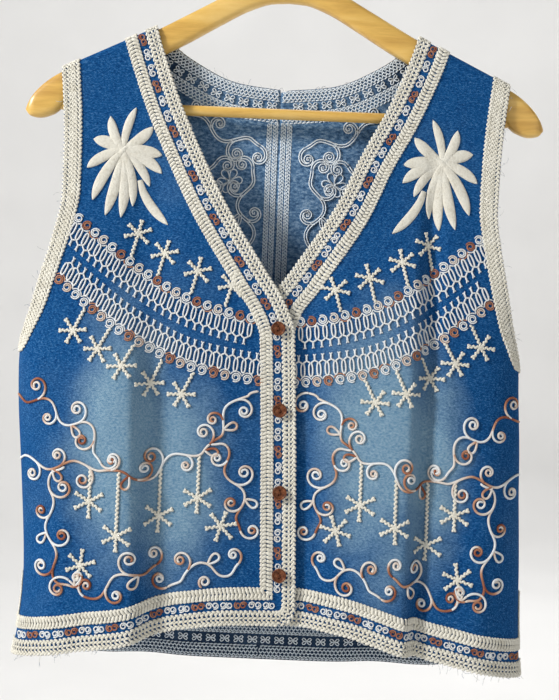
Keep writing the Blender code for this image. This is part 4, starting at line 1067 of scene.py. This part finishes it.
def layGarlandLoops(cords, cloth, path, direction):
    feet, _ = resample(path, garland["loopPitch"])
    along, square = squareTo(feet, direction)
    away = square * 0.6 + np.array((0.0, direction)) * 0.4
    away /= np.linalg.norm(away, axis=1)[:, None]
    ends = []
    for k, foot in enumerate(feet):
        start = foot + away[k] * garland["loopStart"]
        end = start + away[k] * garland["loopLong"]
        wide = np.array((away[k][1], -away[k][0])) * garland["loopHalf"]
        t = np.linspace(0, 2 * math.pi, 27)[:, None]
        middle, half = (start + end) / 2, away[k] * garland["loopLong"] / 2
        ring = middle + half * np.sign(np.cos(t)) * np.abs(np.cos(t)) ** 0.7 + wide * np.sin(t)
        layCord(cords, cloth, ring, cordPlan["loopWidth"], 0.02, step=1.0, sides=4)
        ends.append(end)
    for k in range(len(ends) - 1):
        middle = (ends[k] + ends[k + 1]) / 2 + away[k] * 2.2
        tail = middle + away[k] * (garland["knotFall"] - 2.2)
        layCord(cords, cloth, [ends[k], middle, ends[k + 1]], 1.5, 0.02, step=0.9, base=0.2)
        layCord(cords, cloth, [middle, tail], 1.8, 0.02, step=0.8)
        for hand in (-1, 1):
            tip = tail + away[k] * 0.8 + along[k] * 1.2 * hand
            layCord(cords, cloth, [tail - away[k] * 0.7, tip], 1.5, 0.02, step=0.8)


def layGarland(cords, cloth):
    for name, direction in (("upper", 1.0), ("lower", -1.0)):
        a = np.linspace(garland[name][0][0], garland[name][-1][0], 600)
        path = placedOn(cloth, np.stack([a, smoothCurve(garland[name], 1)(a)], axis=1), 0.65)
        path = path[clearOfBands(cloth, path, 1.5)]
        layGarlandRings(cords, cloth, path, direction, garland[name + "Tones"])
        layGarlandLoops(cords, cloth, path, direction)
        cloth[name + "Line"] = path


def lineAt(path, a):
    order = np.argsort(path[:, 0])
    return np.array((a, np.interp(a, path[order, 0], path[order, 1])))


starPlan = {
    "rising": ((119.0, 292.0), (95.5, 308.0), (67.0, 322.0), (38.0, 333.0)), "risingFoot": 5.0,
    "hanging": ((168.0, 376.0), (146.0, 390.5), (125.0, 403.5), (102.0, 417.0), (75.5, 425.0)), "hangingFoot": -9.0,
    "framed": ((146.0, 515.0), (122.0, 541.0), (90.0, 526.0), (58.5, 509.5)),
    "free": ((38.5, 532.0, 0.2), (151.0, 567.5, 0.35)),
    "reach": 11.0, "framedReach": 12.4,
}


def layStars(spool, cloth):
    for name, line, fall in (("rising", "upperLine", -4.0), ("hanging", "lowerLine", 4.0)):
        for star in starPlan[name]:
            centre = placedOn(cloth, star, 0.6)
            foot = lineAt(cloth[line], centre[0] + starPlan[name + "Foot"]) + np.array((0.0, fall))
            layStar(spool, cloth, centre, starPlan["reach"], foot, 0.0)
    for star in starPlan["framed"]:
        centre = placedOn(cloth, star)
        foot = lineAt(cloth["bridgeLine"], centre[0]) + np.array((0.0, 1.0))
        layStar(spool, cloth, centre, starPlan["framedReach"], foot, 0.0)
    for a, drop, tilt in starPlan["free"]:
        layStar(spool, cloth, placedOn(cloth, (a, drop)), starPlan["framedReach"], None, tilt)


# Scrolling vines: each swings from side to side of its guide and throws a curl at every crossing
vineRule = {"halfWave": 22.5, "swing": 4.8, "curlLength": 54.0, "openRadius": 11.0, "turns": 1.85,
            "loopEvery": 3, "loopLength": 11.5, "loopHalf": 3.1,
            "freeStarts": ("cornerVine", "hemVine", "neckVine", "centreVine", "yokeVine", "innerVine")}
frontVines = {
    "sideArm": ((216, 431), (192, 436), (172, 448), (152, 455), (141, 470), (137, 484)),
    "bridge": ((216, 488), (190, 486), (165, 488), (137, 485), (112, 496), (84, 482), (50, 465)),
    "riser": ((50, 465), (37, 441), (24, 421), (12, 420)),
    "placketVine": ((50, 465), (37, 472), (31, 492), (22, 514), (22, 536)),
    "cornerVine": ((80, 584), (68, 571), (50, 567), (35, 569), (22, 562)),
    "hemVine": ((90, 566), (108, 571), (128, 583), (150, 593), (160, 580)),
    "sideVine": ((168, 488), (181, 507), (178, 530), (177, 553), (172, 574), (158, 585)),
}


def yarnTones(count, offset):
    # variegated yarn: white, tan and brown stretches
    s = np.arange(count) / 9.0 + offset
    wave = 0.26 + 0.34 * np.sin(s * 2.1) + 0.30 * np.sin(s * 0.83 + 1.3 + offset)
    return np.clip(wave, 0.0, 0.85)


def curl(start, heading, hand, size=1.0):
    length = vineRule["curlLength"] * size
    s = np.linspace(0.0, length, 80)
    loose = 1 / (vineRule["openRadius"] * size)
    tighter = 3 * (2 * math.pi * vineRule["turns"] / length - loose)
    angle = heading + hand * (s * loose + tighter * s ** 3 / (3 * length ** 2))
    step = np.diff(s, prepend=0.0)
    return np.stack([start[0] + np.cumsum(np.cos(angle) * step), start[1] + np.cumsum(np.sin(angle) * step)], axis=1)


def leafLoop(start, heading):
    t = np.linspace(0.0, 1.0, 40)
    far = vineRule["loopLength"] * np.sin(math.pi * t)
    wide = vineRule["loopHalf"] * np.sin(2 * math.pi * t)
    c, s = math.cos(heading), math.sin(heading)
    return np.stack([start[0] + far * c - wide * s, start[1] + far * s + wide * c], axis=1)


def vinePaths(guidePoints, number, freeStart):
    guide = resample(softened(guidePoints, 1.5), 0.8)[0]
    length = pathLength(guide)
    halves = max(2, int(round(length[-1] / vineRule["halfWave"])))
    along, square = squareTo(guide, 1.0 if number % 2 else -1.0)
    phase = length / length[-1] * halves * math.pi
    ends = np.minimum(ease(0.0, 12.0, length), ease(0.0, 12.0, length[-1] - length))
    vine = guide + square * (vineRule["swing"] * np.sin(phase) * (0.35 + 0.65 * ends))[:, None]
    heading = np.unwrap(np.arctan2(*np.gradient(vine, axis=0).T[::-1]))
    paths = [vine]
    for k in range(1, halves + 1):
        i = min(int(round(k / halves * (len(vine) - 1))), len(vine) - 2)
        before = max(0, i - int(len(vine) / halves / 2))
        hand = np.sign(heading[i] - heading[before]) or 1.0
        size = 0.9 + 0.16 * math.sin(k * 2.3 + number)
        paths.append(curl(vine[i], heading[i], hand, size))
        if (k + number) % vineRule["loopEvery"] == 0:
            top = (i + before) // 2
            paths.append(leafLoop(vine[top], heading[top] - hand * 1.2))
    if freeStart:
        first = np.sign(heading[min(len(vine) - 1, int(len(vine) / halves / 2))] - heading[0]) or 1.0
        paths.append(curl(vine[0], heading[0] + math.pi, -first, 0.85))
    return paths


def longestClear(cloth, path, margin):
    keep = np.concatenate(([False], clearOfBands(cloth, path, margin), [False])).astype(int)
    starts, stops = np.flatnonzero(np.diff(keep) == 1), np.flatnonzero(np.diff(keep) == -1)
    if not len(starts):
        return path[:0]
    k = int(np.argmax(stops - starts))
    return path[starts[k]:stops[k]]


def layScrolls(cords, cloth, vines):
    cloth["scrolls"] = []
    for number, (name, points) in enumerate(vines.items()):
        for part, path in enumerate(vinePaths(points, number, name in vineRule["freeStarts"])):
            path = longestClear(cloth, placedOn(cloth, path), 1.2)
            if len(path) < 8:
                continue
            if part == 0 and name == "bridge":
                cloth["bridgeLine"] = path
            tone = yarnTones(len(path) // 3 + 4, number * 1.9 + part * 2.6)
            layCord(cords, cloth, path, cordPlan["scrollWidth"], tone, base=0.0 if part == 0 else 0.12, knot=0.0)
            cloth["scrolls"].append(path)


def stripRings(cords, cloth, line, unitPitch, first):
    # pairs of small rings with a gap of denim between the pairs
    points, at = resample(line, 0.5)
    units = int(at[-1] / unitPitch)
    for unit in range(units):
        tones = ((0.74, 0.70), (0.0, 0.0), (0.0, 0.06))[(unit + first) % 3]
        for hand, tone in zip((-1, 1), tones):
            k = np.searchsorted(at, (unit + 0.5) * unitPitch + hand * cordPlan["stripRadius"] * 0.82)
            centre = points[min(k, len(points) - 1)]
            shades = np.clip(tone + 0.1 * np.sin(np.arange(6) * 1.7 + unit), 0, 1) if tone else 0.0
            layCord(cords, cloth, rosette(centre, cordPlan["stripRadius"], 1.45, unit * 2.1 + hand), cordPlan["ringCord"], shades,
                    step=1.0, sides=4)


def borderMiddle(cloth):
    border = vestForm["border"]
    return cornerLine(cloth, (border[1] + border[2]) / 2)


for key in ("rightFront", "leftFront"):
    cloth = cloths[key]
    cords, stars = newSpool(), newSpool()
    layGarland(cords, cloth)
    layScrolls(cords, cloth, frontVines)
    layStars(stars, cloth)
    top, bend, hem = borderMiddle(cloth)
    stripRings(cords, cloth, top, 13.9, 0)
    stripRings(cords, cloth, hem, 11.6, 1)
    cloth["trims"].append(addPiece(key + "Cords", spoolMesh(cords, key + "Cords"), [looks["cord"]]))
    cloth["trims"].append(addPiece(key + "Stars", spoolMesh(stars, key + "Stars"), [looks["applique"]]))
    print(key, "embroidery points", cords["count"], stars["count"])

# The back carries the same kinds of motif in a plainer layout
backVines = {
    "neckVine": ((20, 207), (40, 203), (62, 195), (82, 182), (98, 166)),
    "centreVine": ((26, 226), (34, 256), (27, 288), (34, 320), (26, 356), (32, 410), (24, 470), (28, 530), (24, 590)),
    "yokeVine": ((58, 222), (66, 250), (57, 280), (66, 308), (104, 312), (146, 322), (176, 342)),
    "shoulderVine": ((92, 206), (100, 236), (126, 258), (152, 246), (162, 215)),
    "waistVine": ((28, 432), (76, 440), (124, 436), (168, 444), (206, 430)),
    "sideVine": ((188, 450), (186, 490), (190, 530), (184, 580)),
    "hemVine": ((26, 590), (70, 578), (114, 588), (158, 580), (184, 590)),
    "innerVine": ((66, 500), (70, 540), (104, 552), (140, 540), (146, 500), (110, 484)),
}
backStars = ((46, 238, 0.1), (44, 302, 0.4), (84, 268, 0.0), (122, 286, 0.2), (62, 345, 0.3), (102, 350, 0.0),
             (138, 356, 0.5), (60, 390, 0.2), (96, 396, 0.4), (132, 398, 0.1), (168, 396, 0.3), (60, 470, 0.3),
             (104, 515, 0.1), (164, 476, 0.4), (164, 530, 0.2), (50, 548, 0.2))

for key in ("rightBack", "leftBack"):
    cloth = cloths[key]
    cords, stars = newSpool(), newSpool()
    layScrolls(cords, cloth, backVines)
    for a, drop, tilt in backStars:
        layStar(stars, cloth, (a, drop), starPlan["framedReach"] * 0.9, None, tilt)
    border, hem = vestForm["border"], vestForm["backHemBorder"]
    stripRings(cords, cloth, neckLine(cloth, (border[1] + border[2]) / 2), 13.0, 0)
    across = np.linspace(centreEdge(cloth), cloth["outer"](cloth["outerEnd"])[0] - 0.5, 400)
    stripRings(cords, cloth, np.stack([across, hemDrop(cloth, across) - (hem[1] + hem[2]) / 2], axis=1), 11.6, 1)
    cloth["trims"].append(addPiece(key + "Cords", spoolMesh(cords, key + "Cords"), [looks["cord"]]))
    cloth["trims"].append(addPiece(key + "Stars", spoolMesh(stars, key + "Stars"), [looks["applique"]]))
    print(key, "embroidery points", cords["count"], stars["count"])

# Wrong side: the stitching shows as thin pale double lines, the trims as open nets
threadPlan = {"width": 1.25, "apart": 1.05, "flowerReach": 11.0, "leafLong": 4.6, "leafHalf": 1.3, "leafPitch": 12.5}


def layDoubleLine(spool, cloth, path):
    path, _ = resample(path, 1.5)
    _, square = squareTo(path, 1.0)
    for hand in (-1, 1):
        layCord(spool, cloth, path + square * hand * threadPlan["apart"], threadPlan["width"], 0.0, base=0.35, step=2.1,
                knot=0.0, sides=3)


def layLeafPairs(spool, cloth, line):
    points, at = resample(line, 0.5)
    along, _ = squareTo(points, 1.0)
    for start in np.arange(5.0, at[-1] - 4.0, threadPlan["leafPitch"]):
        k = int(np.searchsorted(at, start))
        way = math.atan2(along[k][1], along[k][0])
        for turn in (-0.55, 0.55, math.pi - 0.55, math.pi + 0.55):
            t = np.linspace(0.0, 1.0, 16)
            far = threadPlan["leafLong"] * np.sin(math.pi * t)
            wide = threadPlan["leafHalf"] * np.sin(2 * math.pi * t)
            c, s = math.cos(way + turn), math.sin(way + turn)
            leaf = np.stack([points[k][0] + far * c - wide * s, points[k][1] + far * s + wide * c], axis=1)
            layCord(spool, cloth, leaf, 1.05, 0.0, base=0.35, step=1.5, knot=0.0, sides=3)


def layFlower(spool, cloth, centre, tilt):
    for k in range(6):
        petal = leafLoop((0.0, 0.0), 0.0) * threadPlan["flowerReach"] / vineRule["loopLength"]
        angle = tilt + k * math.pi / 3
        turn = np.array(((math.cos(angle), math.sin(angle)), (-math.sin(angle), math.cos(angle))))
        layCord(spool, cloth, np.array(centre) + petal @ turn, threadPlan["width"], 0.0, base=0.35, step=1.6, knot=0.0,
                sides=3)


def buildWrongSide(cloth):
    reverse = dict(cloth, wrongSide=True)
    spool = newSpool()
    for path in cloth["scrolls"]:
        layDoubleLine(spool, reverse, path)
    if cloth["facing"] > 0:
        border, hem = vestForm["border"], vestForm["backHemBorder"]
        start = centreEdge(cloth)
        for near, far in ((0.6, border[1]), (border[2], border[3])):
            layBand(spool, reverse, *matched(neckLine(cloth, near), neckLine(cloth, far), 300), "wrongSide")
        layLeafPairs(spool, reverse, neckLine(cloth, (border[1] + border[2]) / 2))
        drops = np.linspace(float(readBackNeck(abs(start))) + border[3], vestForm["backHemDrop"] - hem[3], 400)
        for near, far in ((1.2, 5.6), (6.6, 11.0)):
            lines = [np.stack([np.full_like(drops, start + offset), drops], axis=1) for offset in (near, far)]
            layBand(spool, reverse, *lines, "wrongStrip")
        across = np.linspace(start + 0.6, cloth["outer"](cloth["outerEnd"])[0] - 1.0, 400)
        drop = hemDrop(cloth, across)
        for low, high in ((0.8, hem[1]), (hem[2], hem[3])):
            layBand(spool, reverse, np.stack([across, drop - low], axis=1), np.stack([across, drop - high], axis=1), "wrongSide")
        layLeafPairs(spool, reverse, np.stack([across, drop - (hem[1] + hem[2]) / 2], axis=1))
        for a, drop, tilt in backStars:
            layFlower(spool, reverse, (a, drop), tilt)
    item = addPiece(cloth["key"] + "Reverse", spoolMesh(spool, cloth["key"] + "Reverse"), [looks["thread"]])
    cloth["trims"].append(item)
    print(cloth["key"], "wrong side points", spool["count"])


for cloth in cloths.values():
    buildWrongSide(cloth)

# Loose threads along the cut edges
frayPlan = {"width": 0.3, "longest": 8.0, "hem": 26, "armhole": 22, "neck": 16}


def layFray(spool, cloth, path, count, outward):
    for _ in range(count):
        start = path[chance.integers(0, len(path))]
        length = frayPlan["longest"] * chance.random() ** 2 + 1.6
        heading = math.atan2(outward[1], outward[0]) + chance.normal(0.0, 0.75)
        bend = chance.normal(0.0, 0.16)
        s = np.linspace(0.0, length, 7)
        angle = heading + bend * s
        step = length / 6
        strand = np.stack([np.cumsum(np.cos(angle) * step), np.zeros(7), -np.cumsum(np.sin(angle) * step)], axis=1)
        strand[:, 0] *= cloth["side"]
        strand[:, 1] = cloth["facing"] * (np.linspace(0.2, 1.0, 7) * chance.normal(0.2, 0.8))
        here = onCloth(cloth, start[None, :])[0]
        normal = np.tile((0.0, float(cloth["facing"]), 0.0), (7, 1))
        addTube(spool, here + strand, normal, frayPlan["width"], frayPlan["width"], 0.5, sides=3)


def buildFray(cloth):
    spool = newSpool()
    d = np.linspace(0.0, cloth["innerEnd"], 900)
    side = cloth["outer"](outerFor(cloth, d))
    armhole = side[side[:, 1] < vestForm["armholeFoot"]]
    layFray(spool, cloth, armhole, frayPlan["armhole"], (1.0, 0.15))
    endA = cloth["outer"](cloth["outerEnd"])[0]
    across = np.linspace(endA - 70.0, endA - 1.0, 200)
    hem = np.stack([across, hemDrop(cloth, across) - 0.5], axis=1)
    layFray(spool, cloth, hem, frayPlan["hem"], (0.2, 1.0))
    if cloth["facing"] > 0:
        layFray(spool, cloth, neckLine(cloth, 0.5), frayPlan["neck"], (0.0, -1.0))
    return addPiece(cloth["key"] + "Fray", spoolMesh(spool, cloth["key"] + "Fray"), [looks["fray"]])


for cloth in cloths.values():
    cloth["trims"].append(buildFray(cloth))
print("wrong side and loose threads ready")

# Padded leaf sprays: heading from straight up towards the side, length, bend
sprayPlan = {
    "drop": 221.0, "half": 135.5, "height": 1.25,
    "petals": ((-142, 38, 0.08, 7.6), (-119, 38, 0.08, 9.6), (-95, 33, 0.04, 10.4), (-49, 32, -0.04, 9.6),
               (-14, 38, 0.06, 7.2), (23, 31, 0.08, 8.4), (72, 27, -0.06, 10.6), (119, 34, -0.08, 9.0),
               (152, 50, -0.06, 9.2), (168, 58, 0.02, 9.2), (181, 58, 0.04, 9.0), (192, 49, 0.06, 7.8)),
    "curvedLeaf": ((120.5, 246.0), (117.0, 256.0), (111.0, 266.0), (103.5, 275.0), (94.5, 283.5)),
}


def layLeaf(spool, cloth, spine, width, height, base):
    spine, at = resample(spine, 1.5)
    share = at / at[-1]
    profile = np.where(share < 0.55, 0.55 + 0.45 * np.sin(share / 0.55 * math.pi / 2),
                       np.maximum(1.0 - ((share - 0.55) / 0.45) ** 2.4, 0.02) ** 0.8)
    along = np.gradient(spine, axis=0)
    along /= np.linalg.norm(along, axis=1)[:, None]
    across = np.stack([-along[:, 1], along[:, 0]], axis=1)
    places = np.array((-1.0, -0.93, -0.75, -0.5, -0.25, 0.0, 0.25, 0.5, 0.75, 0.93, 1.0))
    start = spool["count"]
    rings = []
    for place in places:
        path = spine + across * (place * width / 2 * profile)[:, None]
        here, normal = clothFrame(cloth, path)
        dome = base + 0.25 + height * (0.5 + 0.5 * profile) * max(0.0, 1.0 - place ** 2) ** 0.5
        dome = np.where(abs(place) == 1.0, base - 0.05, dome)
        rings.append(here + normal * dome[:, None])
    block = np.stack(rings, axis=1)
    rows, columns = block.shape[:2]
    spool["points"].append(block.reshape(-1, 3))
    flip = cloth["side"] * cloth["facing"] < 0
    faces = quadFaces(rows, columns, not flip) + start
    spool["faces"] += faces.tolist()
    spool["tone"].append(np.full(rows * columns, 0.5))
    spool["count"] += rows * columns


def buildSpray(cloth):
    spool = newSpool()
    hub = np.array((sprayPlan["half"], sprayPlan["drop"]))
    for number, (heading, length, bend, width) in enumerate(sprayPlan["petals"]):
        turn = math.radians(heading)
        away = np.array((math.sin(turn), -math.cos(turn)))
        beside = np.array((away[1], -away[0]))
        t = np.linspace(0.03, 1.0, 12)[:, None]
        spine = hub + away * length * t + beside * length * bend * 4 * (t * t - t)
        layLeaf(spool, cloth, spine, width, sprayPlan["height"], 0.22 * (number % 3))
    layLeaf(spool, cloth, hub + np.array([[-3.2, -2.6], [0.0, 0.4], [2.8, 3.6]]), 5.6, sprayPlan["height"], 0.6)
    node = cloth["node"]
    item = addPiece(cloth["key"] + "Spray", spoolMesh(spool, "spray"), [looks["petal"]], [node + "_spray"])
    leaf = newSpool()
    layLeaf(leaf, cloth, softened(sprayPlan["curvedLeaf"]), 8.0, sprayPlan["height"], 0.0)
    other = addPiece(cloth["key"] + "Leaf", spoolMesh(leaf, "leaf"), [looks["petal"]], [node + "_leaf"])
    return [item, other]


for key in ("rightFront", "leftFront"):
    cloths[key]["trims"] += buildSpray(cloths[key])
print("sprays ready")

# Buttons
buttonPlan = {"diameter": 11.9, "thick": 2.6, "rim": 1.3, "hole": 1.7, "spread": 1.7, "firstDrop": 367.5,
              "pitch": 67.8, "fromEdge": 13.2, "seat": 2.4, "spins": (1.5, 1.9, 1.3, 1.7)}


def turnedMesh(name, profile, sides):
    points, faces = [], []
    for r, h in profile:
        points += [(r * math.cos(2 * math.pi * k / sides) * mm, r * math.sin(2 * math.pi * k / sides) * mm, h * mm)
                   for k in range(sides)]
    for i in range(len(profile) - 1):
        for k in range(sides):
            n = (k + 1) % sides
            faces.append((i * sides + k, i * sides + n, (i + 1) * sides + n, (i + 1) * sides + k))
    faces.append(tuple(range(sides - 1, -1, -1)))
    mesh = bpy.data.meshes.new(name)
    mesh.from_pydata(points, [], faces)
    mesh.shade_smooth()
    return mesh


def buttonMesh():
    radius, thick = buttonPlan["diameter"] / 2, buttonPlan["thick"]
    dish = thick * 0.58
    rings = [(radius - 0.9, 0.0), (radius - 0.25, 0.35), (radius, thick * 0.55), (radius - 0.12, thick * 0.85),
             (radius - 0.45, thick * 0.98), (radius - 0.85, thick), (radius - 1.2, thick * 0.9), (radius - 1.5, dish + 0.15)]
    rings += [(r, dish) for r in np.linspace(radius - 1.8, 0.02, 26)]
    mesh = turnedMesh("button", rings, 56)
    hole, spread = buttonPlan["hole"] / 2, buttonPlan["spread"]
    for point in mesh.vertices:
        x, y, z = (value / mm for value in point.co)
        away = min(math.hypot(x - spread, y), math.hypot(x + spread, y))
        if away < hole and z > 0.4:
            point.co.z -= 1.3 * mm * (1.0 - (away / hole) ** 4)
    return mesh


def buttonThread(turn):
    spool = newSpool()
    for offset in (-0.22, 0.22):
        t = np.linspace(-1.0, 1.0, 12)
        path = np.stack([t * buttonPlan["spread"], np.full_like(t, offset), 1.62 + 0.42 * (1 - t ** 6)], axis=1)
        addTube(spool, path, np.tile((0.0, 0.0, 1.0), (12, 1)), 0.42, 0.42, 0.9, sides=6)
    mesh = spoolMesh(spool, "buttonThread")
    mesh.transform(turn)
    return mesh


def buildButtons(cloth):
    items = []
    for k in range(4):
        drop = buttonPlan["firstDrop"] + buttonPlan["pitch"] * k
        x = float(readEdge[1](drop)) - buttonPlan["fromEdge"]
        a = -x
        place, normal = clothFrame(cloth, np.array([[a, drop]]))
        normal = Vector(normal[0])
        item = addPiece("button%d" % (k + 1), buttonMesh(), [looks["button"]], ["button_%d" % (k + 1)])
        turn = Vector((0, 0, 1)).rotation_difference(normal).to_matrix().to_4x4()
        spin = Matrix.Rotation(buttonPlan["spins"][k], 4, "Z")
        item.matrix_world = Matrix.Translation(Vector(place[0] * mm) + normal * buttonPlan["seat"] * mm) @ turn @ spin
        thread = addPiece("buttonThread%d" % (k + 1), buttonThread(Matrix.Identity(4)), [looks["button"]])
        thread.matrix_world = item.matrix_world.copy()
        items += [item, thread]
    return items


cloths["rightFront"]["trims"] += buildButtons(cloths["rightFront"])

# Hanger
hangerPlan = {
    "thick": 12.0, "barDiameter": 9.0, "barDrop": 182.0, "barHalf": 201.0, "wire": 3.6, "hookRadius": 21.8,
    "outline": ((0.0, 62.0, 86.0), (14.0, 63.0, 87.0), (32.0, 70.0, 93.0), (60.0, 85.5, 108.5), (85.0, 99.5, 123.5),
                (112.5, 114.6, 138.5), (150.0, 132.8, 157.0), (186.0, 150.3, 178.5), (199.0, 157.5, 190.0),
                (211.0, 167.5, 193.5), (219.0, 178.0, 192.0), (222.5, 185.5, 188.0)),
}


def buildArms():
    top = smoothCurve(hangerPlan["outline"], 1)
    bottom = smoothCurve(hangerPlan["outline"], 2)
    a = 222.5 * np.sin(np.linspace(0.0, 1.0, 70) * math.pi / 2)
    half = hangerPlan["thick"] / 2
    sides = 16
    turn = np.arange(sides) * 2 * math.pi / sides
    square = 0.55
    y = np.sign(np.cos(turn)) * np.abs(np.cos(turn)) ** square * half
    z = np.sign(np.sin(turn)) * np.abs(np.sin(turn)) ** square
    along = np.concatenate([-a[:0:-1], a])
    rings = []
    for value in along:
        high, low = float(top(abs(value))), float(bottom(abs(value)))
        thin = 1.0 if abs(value) < 214 else max(0.35, math.sqrt(max(0.0, 1 - ((abs(value) - 214) / 9.0) ** 2)))
        rings.append([(value, y[k] * thin, -((high + low) / 2 - z[k] * (low - high) / 2)) for k in range(sides)])
    points = np.array(rings).reshape(-1, 3) * mm
    count = len(along)
    faces = [(i * sides + k, i * sides + (k + 1) % sides, (i + 1) * sides + (k + 1) % sides, (i + 1) * sides + k)
             for i in range(count - 1) for k in range(sides)]
    faces += [tuple(range(sides - 1, -1, -1)), tuple(range((count - 1) * sides, count * sides))]
    mesh = bpy.data.meshes.new("arms")
    mesh.from_pydata(points.tolist(), [], faces)
    mesh.shade_smooth()
    return addPiece("hangerArms", mesh, [looks["wood"]], ["hanger_arms"])


def buildBar():
    spool = newSpool()
    x = np.linspace(-hangerPlan["barHalf"], hangerPlan["barHalf"], 30)
    centre = np.stack([x, np.zeros_like(x), np.full_like(x, -hangerPlan["barDrop"])], axis=1)
    normal = np.tile((0.0, -1.0, 0.0), (len(x), 1))
    addTube(spool, centre, normal, hangerPlan["barDiameter"], hangerPlan["barDiameter"], 0.0, sides=28)
    return addPiece("trouserBar", spoolMesh(spool, "bar"), [looks["wood"]], ["trouser_bar"])


def buildHook():
    radius, wire = hangerPlan["hookRadius"], hangerPlan["wire"]
    middle = wire / 2 - radius
    points = [(math.cos(math.radians(k)) * radius, middle + math.sin(math.radians(k)) * radius) for k in range(195, -46, -10)]
    points += [(9.5, middle - 21.5), (3.2, middle - 25.5), (0.4, middle - 30.5), (0.0, middle - 35.0), (0.0, -77.0)]
    path = softened(points, 1.5)
    centre = np.stack([path[:, 0], np.zeros(len(path)), path[:, 1]], axis=1)
    spool = newSpool()
    addTube(spool, centre, np.tile((0.0, -1.0, 0.0), (len(path), 1)), wire, wire, 0.0, sides=14)
    return addPiece("hangerHook", spoolMesh(spool, "hook"), [looks["steel"]], ["hook"])


buildArms()
buildBar()
buildHook()
print("hanger ready")


# Stage: a plain pale bowl of floor and wall all round, far from the vest
def buildStage():
    profile = [(0.01, -1.05), (2.2, -1.05), (2.7, -1.0), (3.0, -0.8), (3.15, -0.4), (3.2, 0.4), (3.2, 2.6)]
    mesh = turnedMesh("backdrop", [(r / mm, h / mm) for r, h in profile], 96)
    item = bpy.data.objects.new("backdrop", mesh)
    bpy.context.scene.collection.objects.link(item)
    look, tree, shader, place = newMaterial("palePaper", 0.9)
    noise = addNode(tree, "ShaderNodeTexNoise", None, Vector=place, Scale=3.0, Detail=2.0)
    tree.links.new(ramp(tree, noise.outputs[0], [(0.3, (0.78, 0.775, 0.765, 1)), (0.7, (0.82, 0.815, 0.805, 1))]),
                   shader.inputs["Base Color"])
    mesh.materials.append(look)


def addLamp(name, place, aim, size, power, colour):
    lamp = bpy.data.lights.new(name, "AREA")
    lamp.shape = "DISK"
    lamp.size = size
    lamp.energy = power
    lamp.color = colour
    item = bpy.data.objects.new(name, lamp)
    bpy.context.scene.collection.objects.link(item)
    item.location = place
    item.rotation_euler = (Vector(aim) - Vector(place)).to_track_quat("-Z", "Y").to_euler()


lampPlan = {
    "keyLamp": ((-1.75, -0.95, 0.65), (0.0, 0.0, -0.42), 0.4, 48.0, (1.0, 0.985, 0.96)),
    "fillLamp": ((1.2, -1.9, 0.1), (0.0, 0.0, -0.4), 1.5, 3.2, (0.95, 0.98, 1.0)),
    "backLamp": ((0.9, 1.8, 0.8), (0.0, 0.0, -0.4), 1.3, 22.0, (1.0, 1.0, 1.0)),
    "wallLamp": ((0.0, 0.9, 2.2), (0.0, 3.2, 0.3), 1.6, 35.0, (1.0, 1.0, 1.0)),
}
buildStage()
for name, plan in lampPlan.items():
    addLamp(name, *plan)
world = bpy.data.worlds.new("studioWorld")
world.use_nodes = True
world.node_tree.nodes["Background"].inputs[0].default_value = (0.93, 0.95, 1.0, 1.0)
world.node_tree.nodes["Background"].inputs[1].default_value = 0.16
bpy.context.scene.world = world
bpy.context.scene.view_settings.view_transform = "Standard"

# Camera: level, square-on, rolled as the photo is
cameraPlan = {"place": (0.004, -0.85, -0.385), "rollDegrees": 2.4, "fieldHeight": 0.6034, "sensor": 24.0}
lens = bpy.data.cameras.new("photoCamera")
lens.sensor_fit = "VERTICAL"
lens.sensor_height = cameraPlan["sensor"]
lens.lens = cameraPlan["sensor"] * -cameraPlan["place"][1] / cameraPlan["fieldHeight"]
eye = bpy.data.objects.new("photoCamera", lens)
bpy.context.scene.collection.objects.link(eye)
roll = math.radians(cameraPlan["rollDegrees"])
eye.matrix_world = Matrix((
    (math.cos(roll), -math.sin(roll), 0.0, cameraPlan["place"][0]),
    (0.0, 0.0, -1.0, cameraPlan["place"][1]),
    (math.sin(roll), math.cos(roll), 0.0, cameraPlan["place"][2]),
    (0.0, 0.0, 0.0, 1.0),
))
bpy.context.scene.camera = eye

print("scene ready")
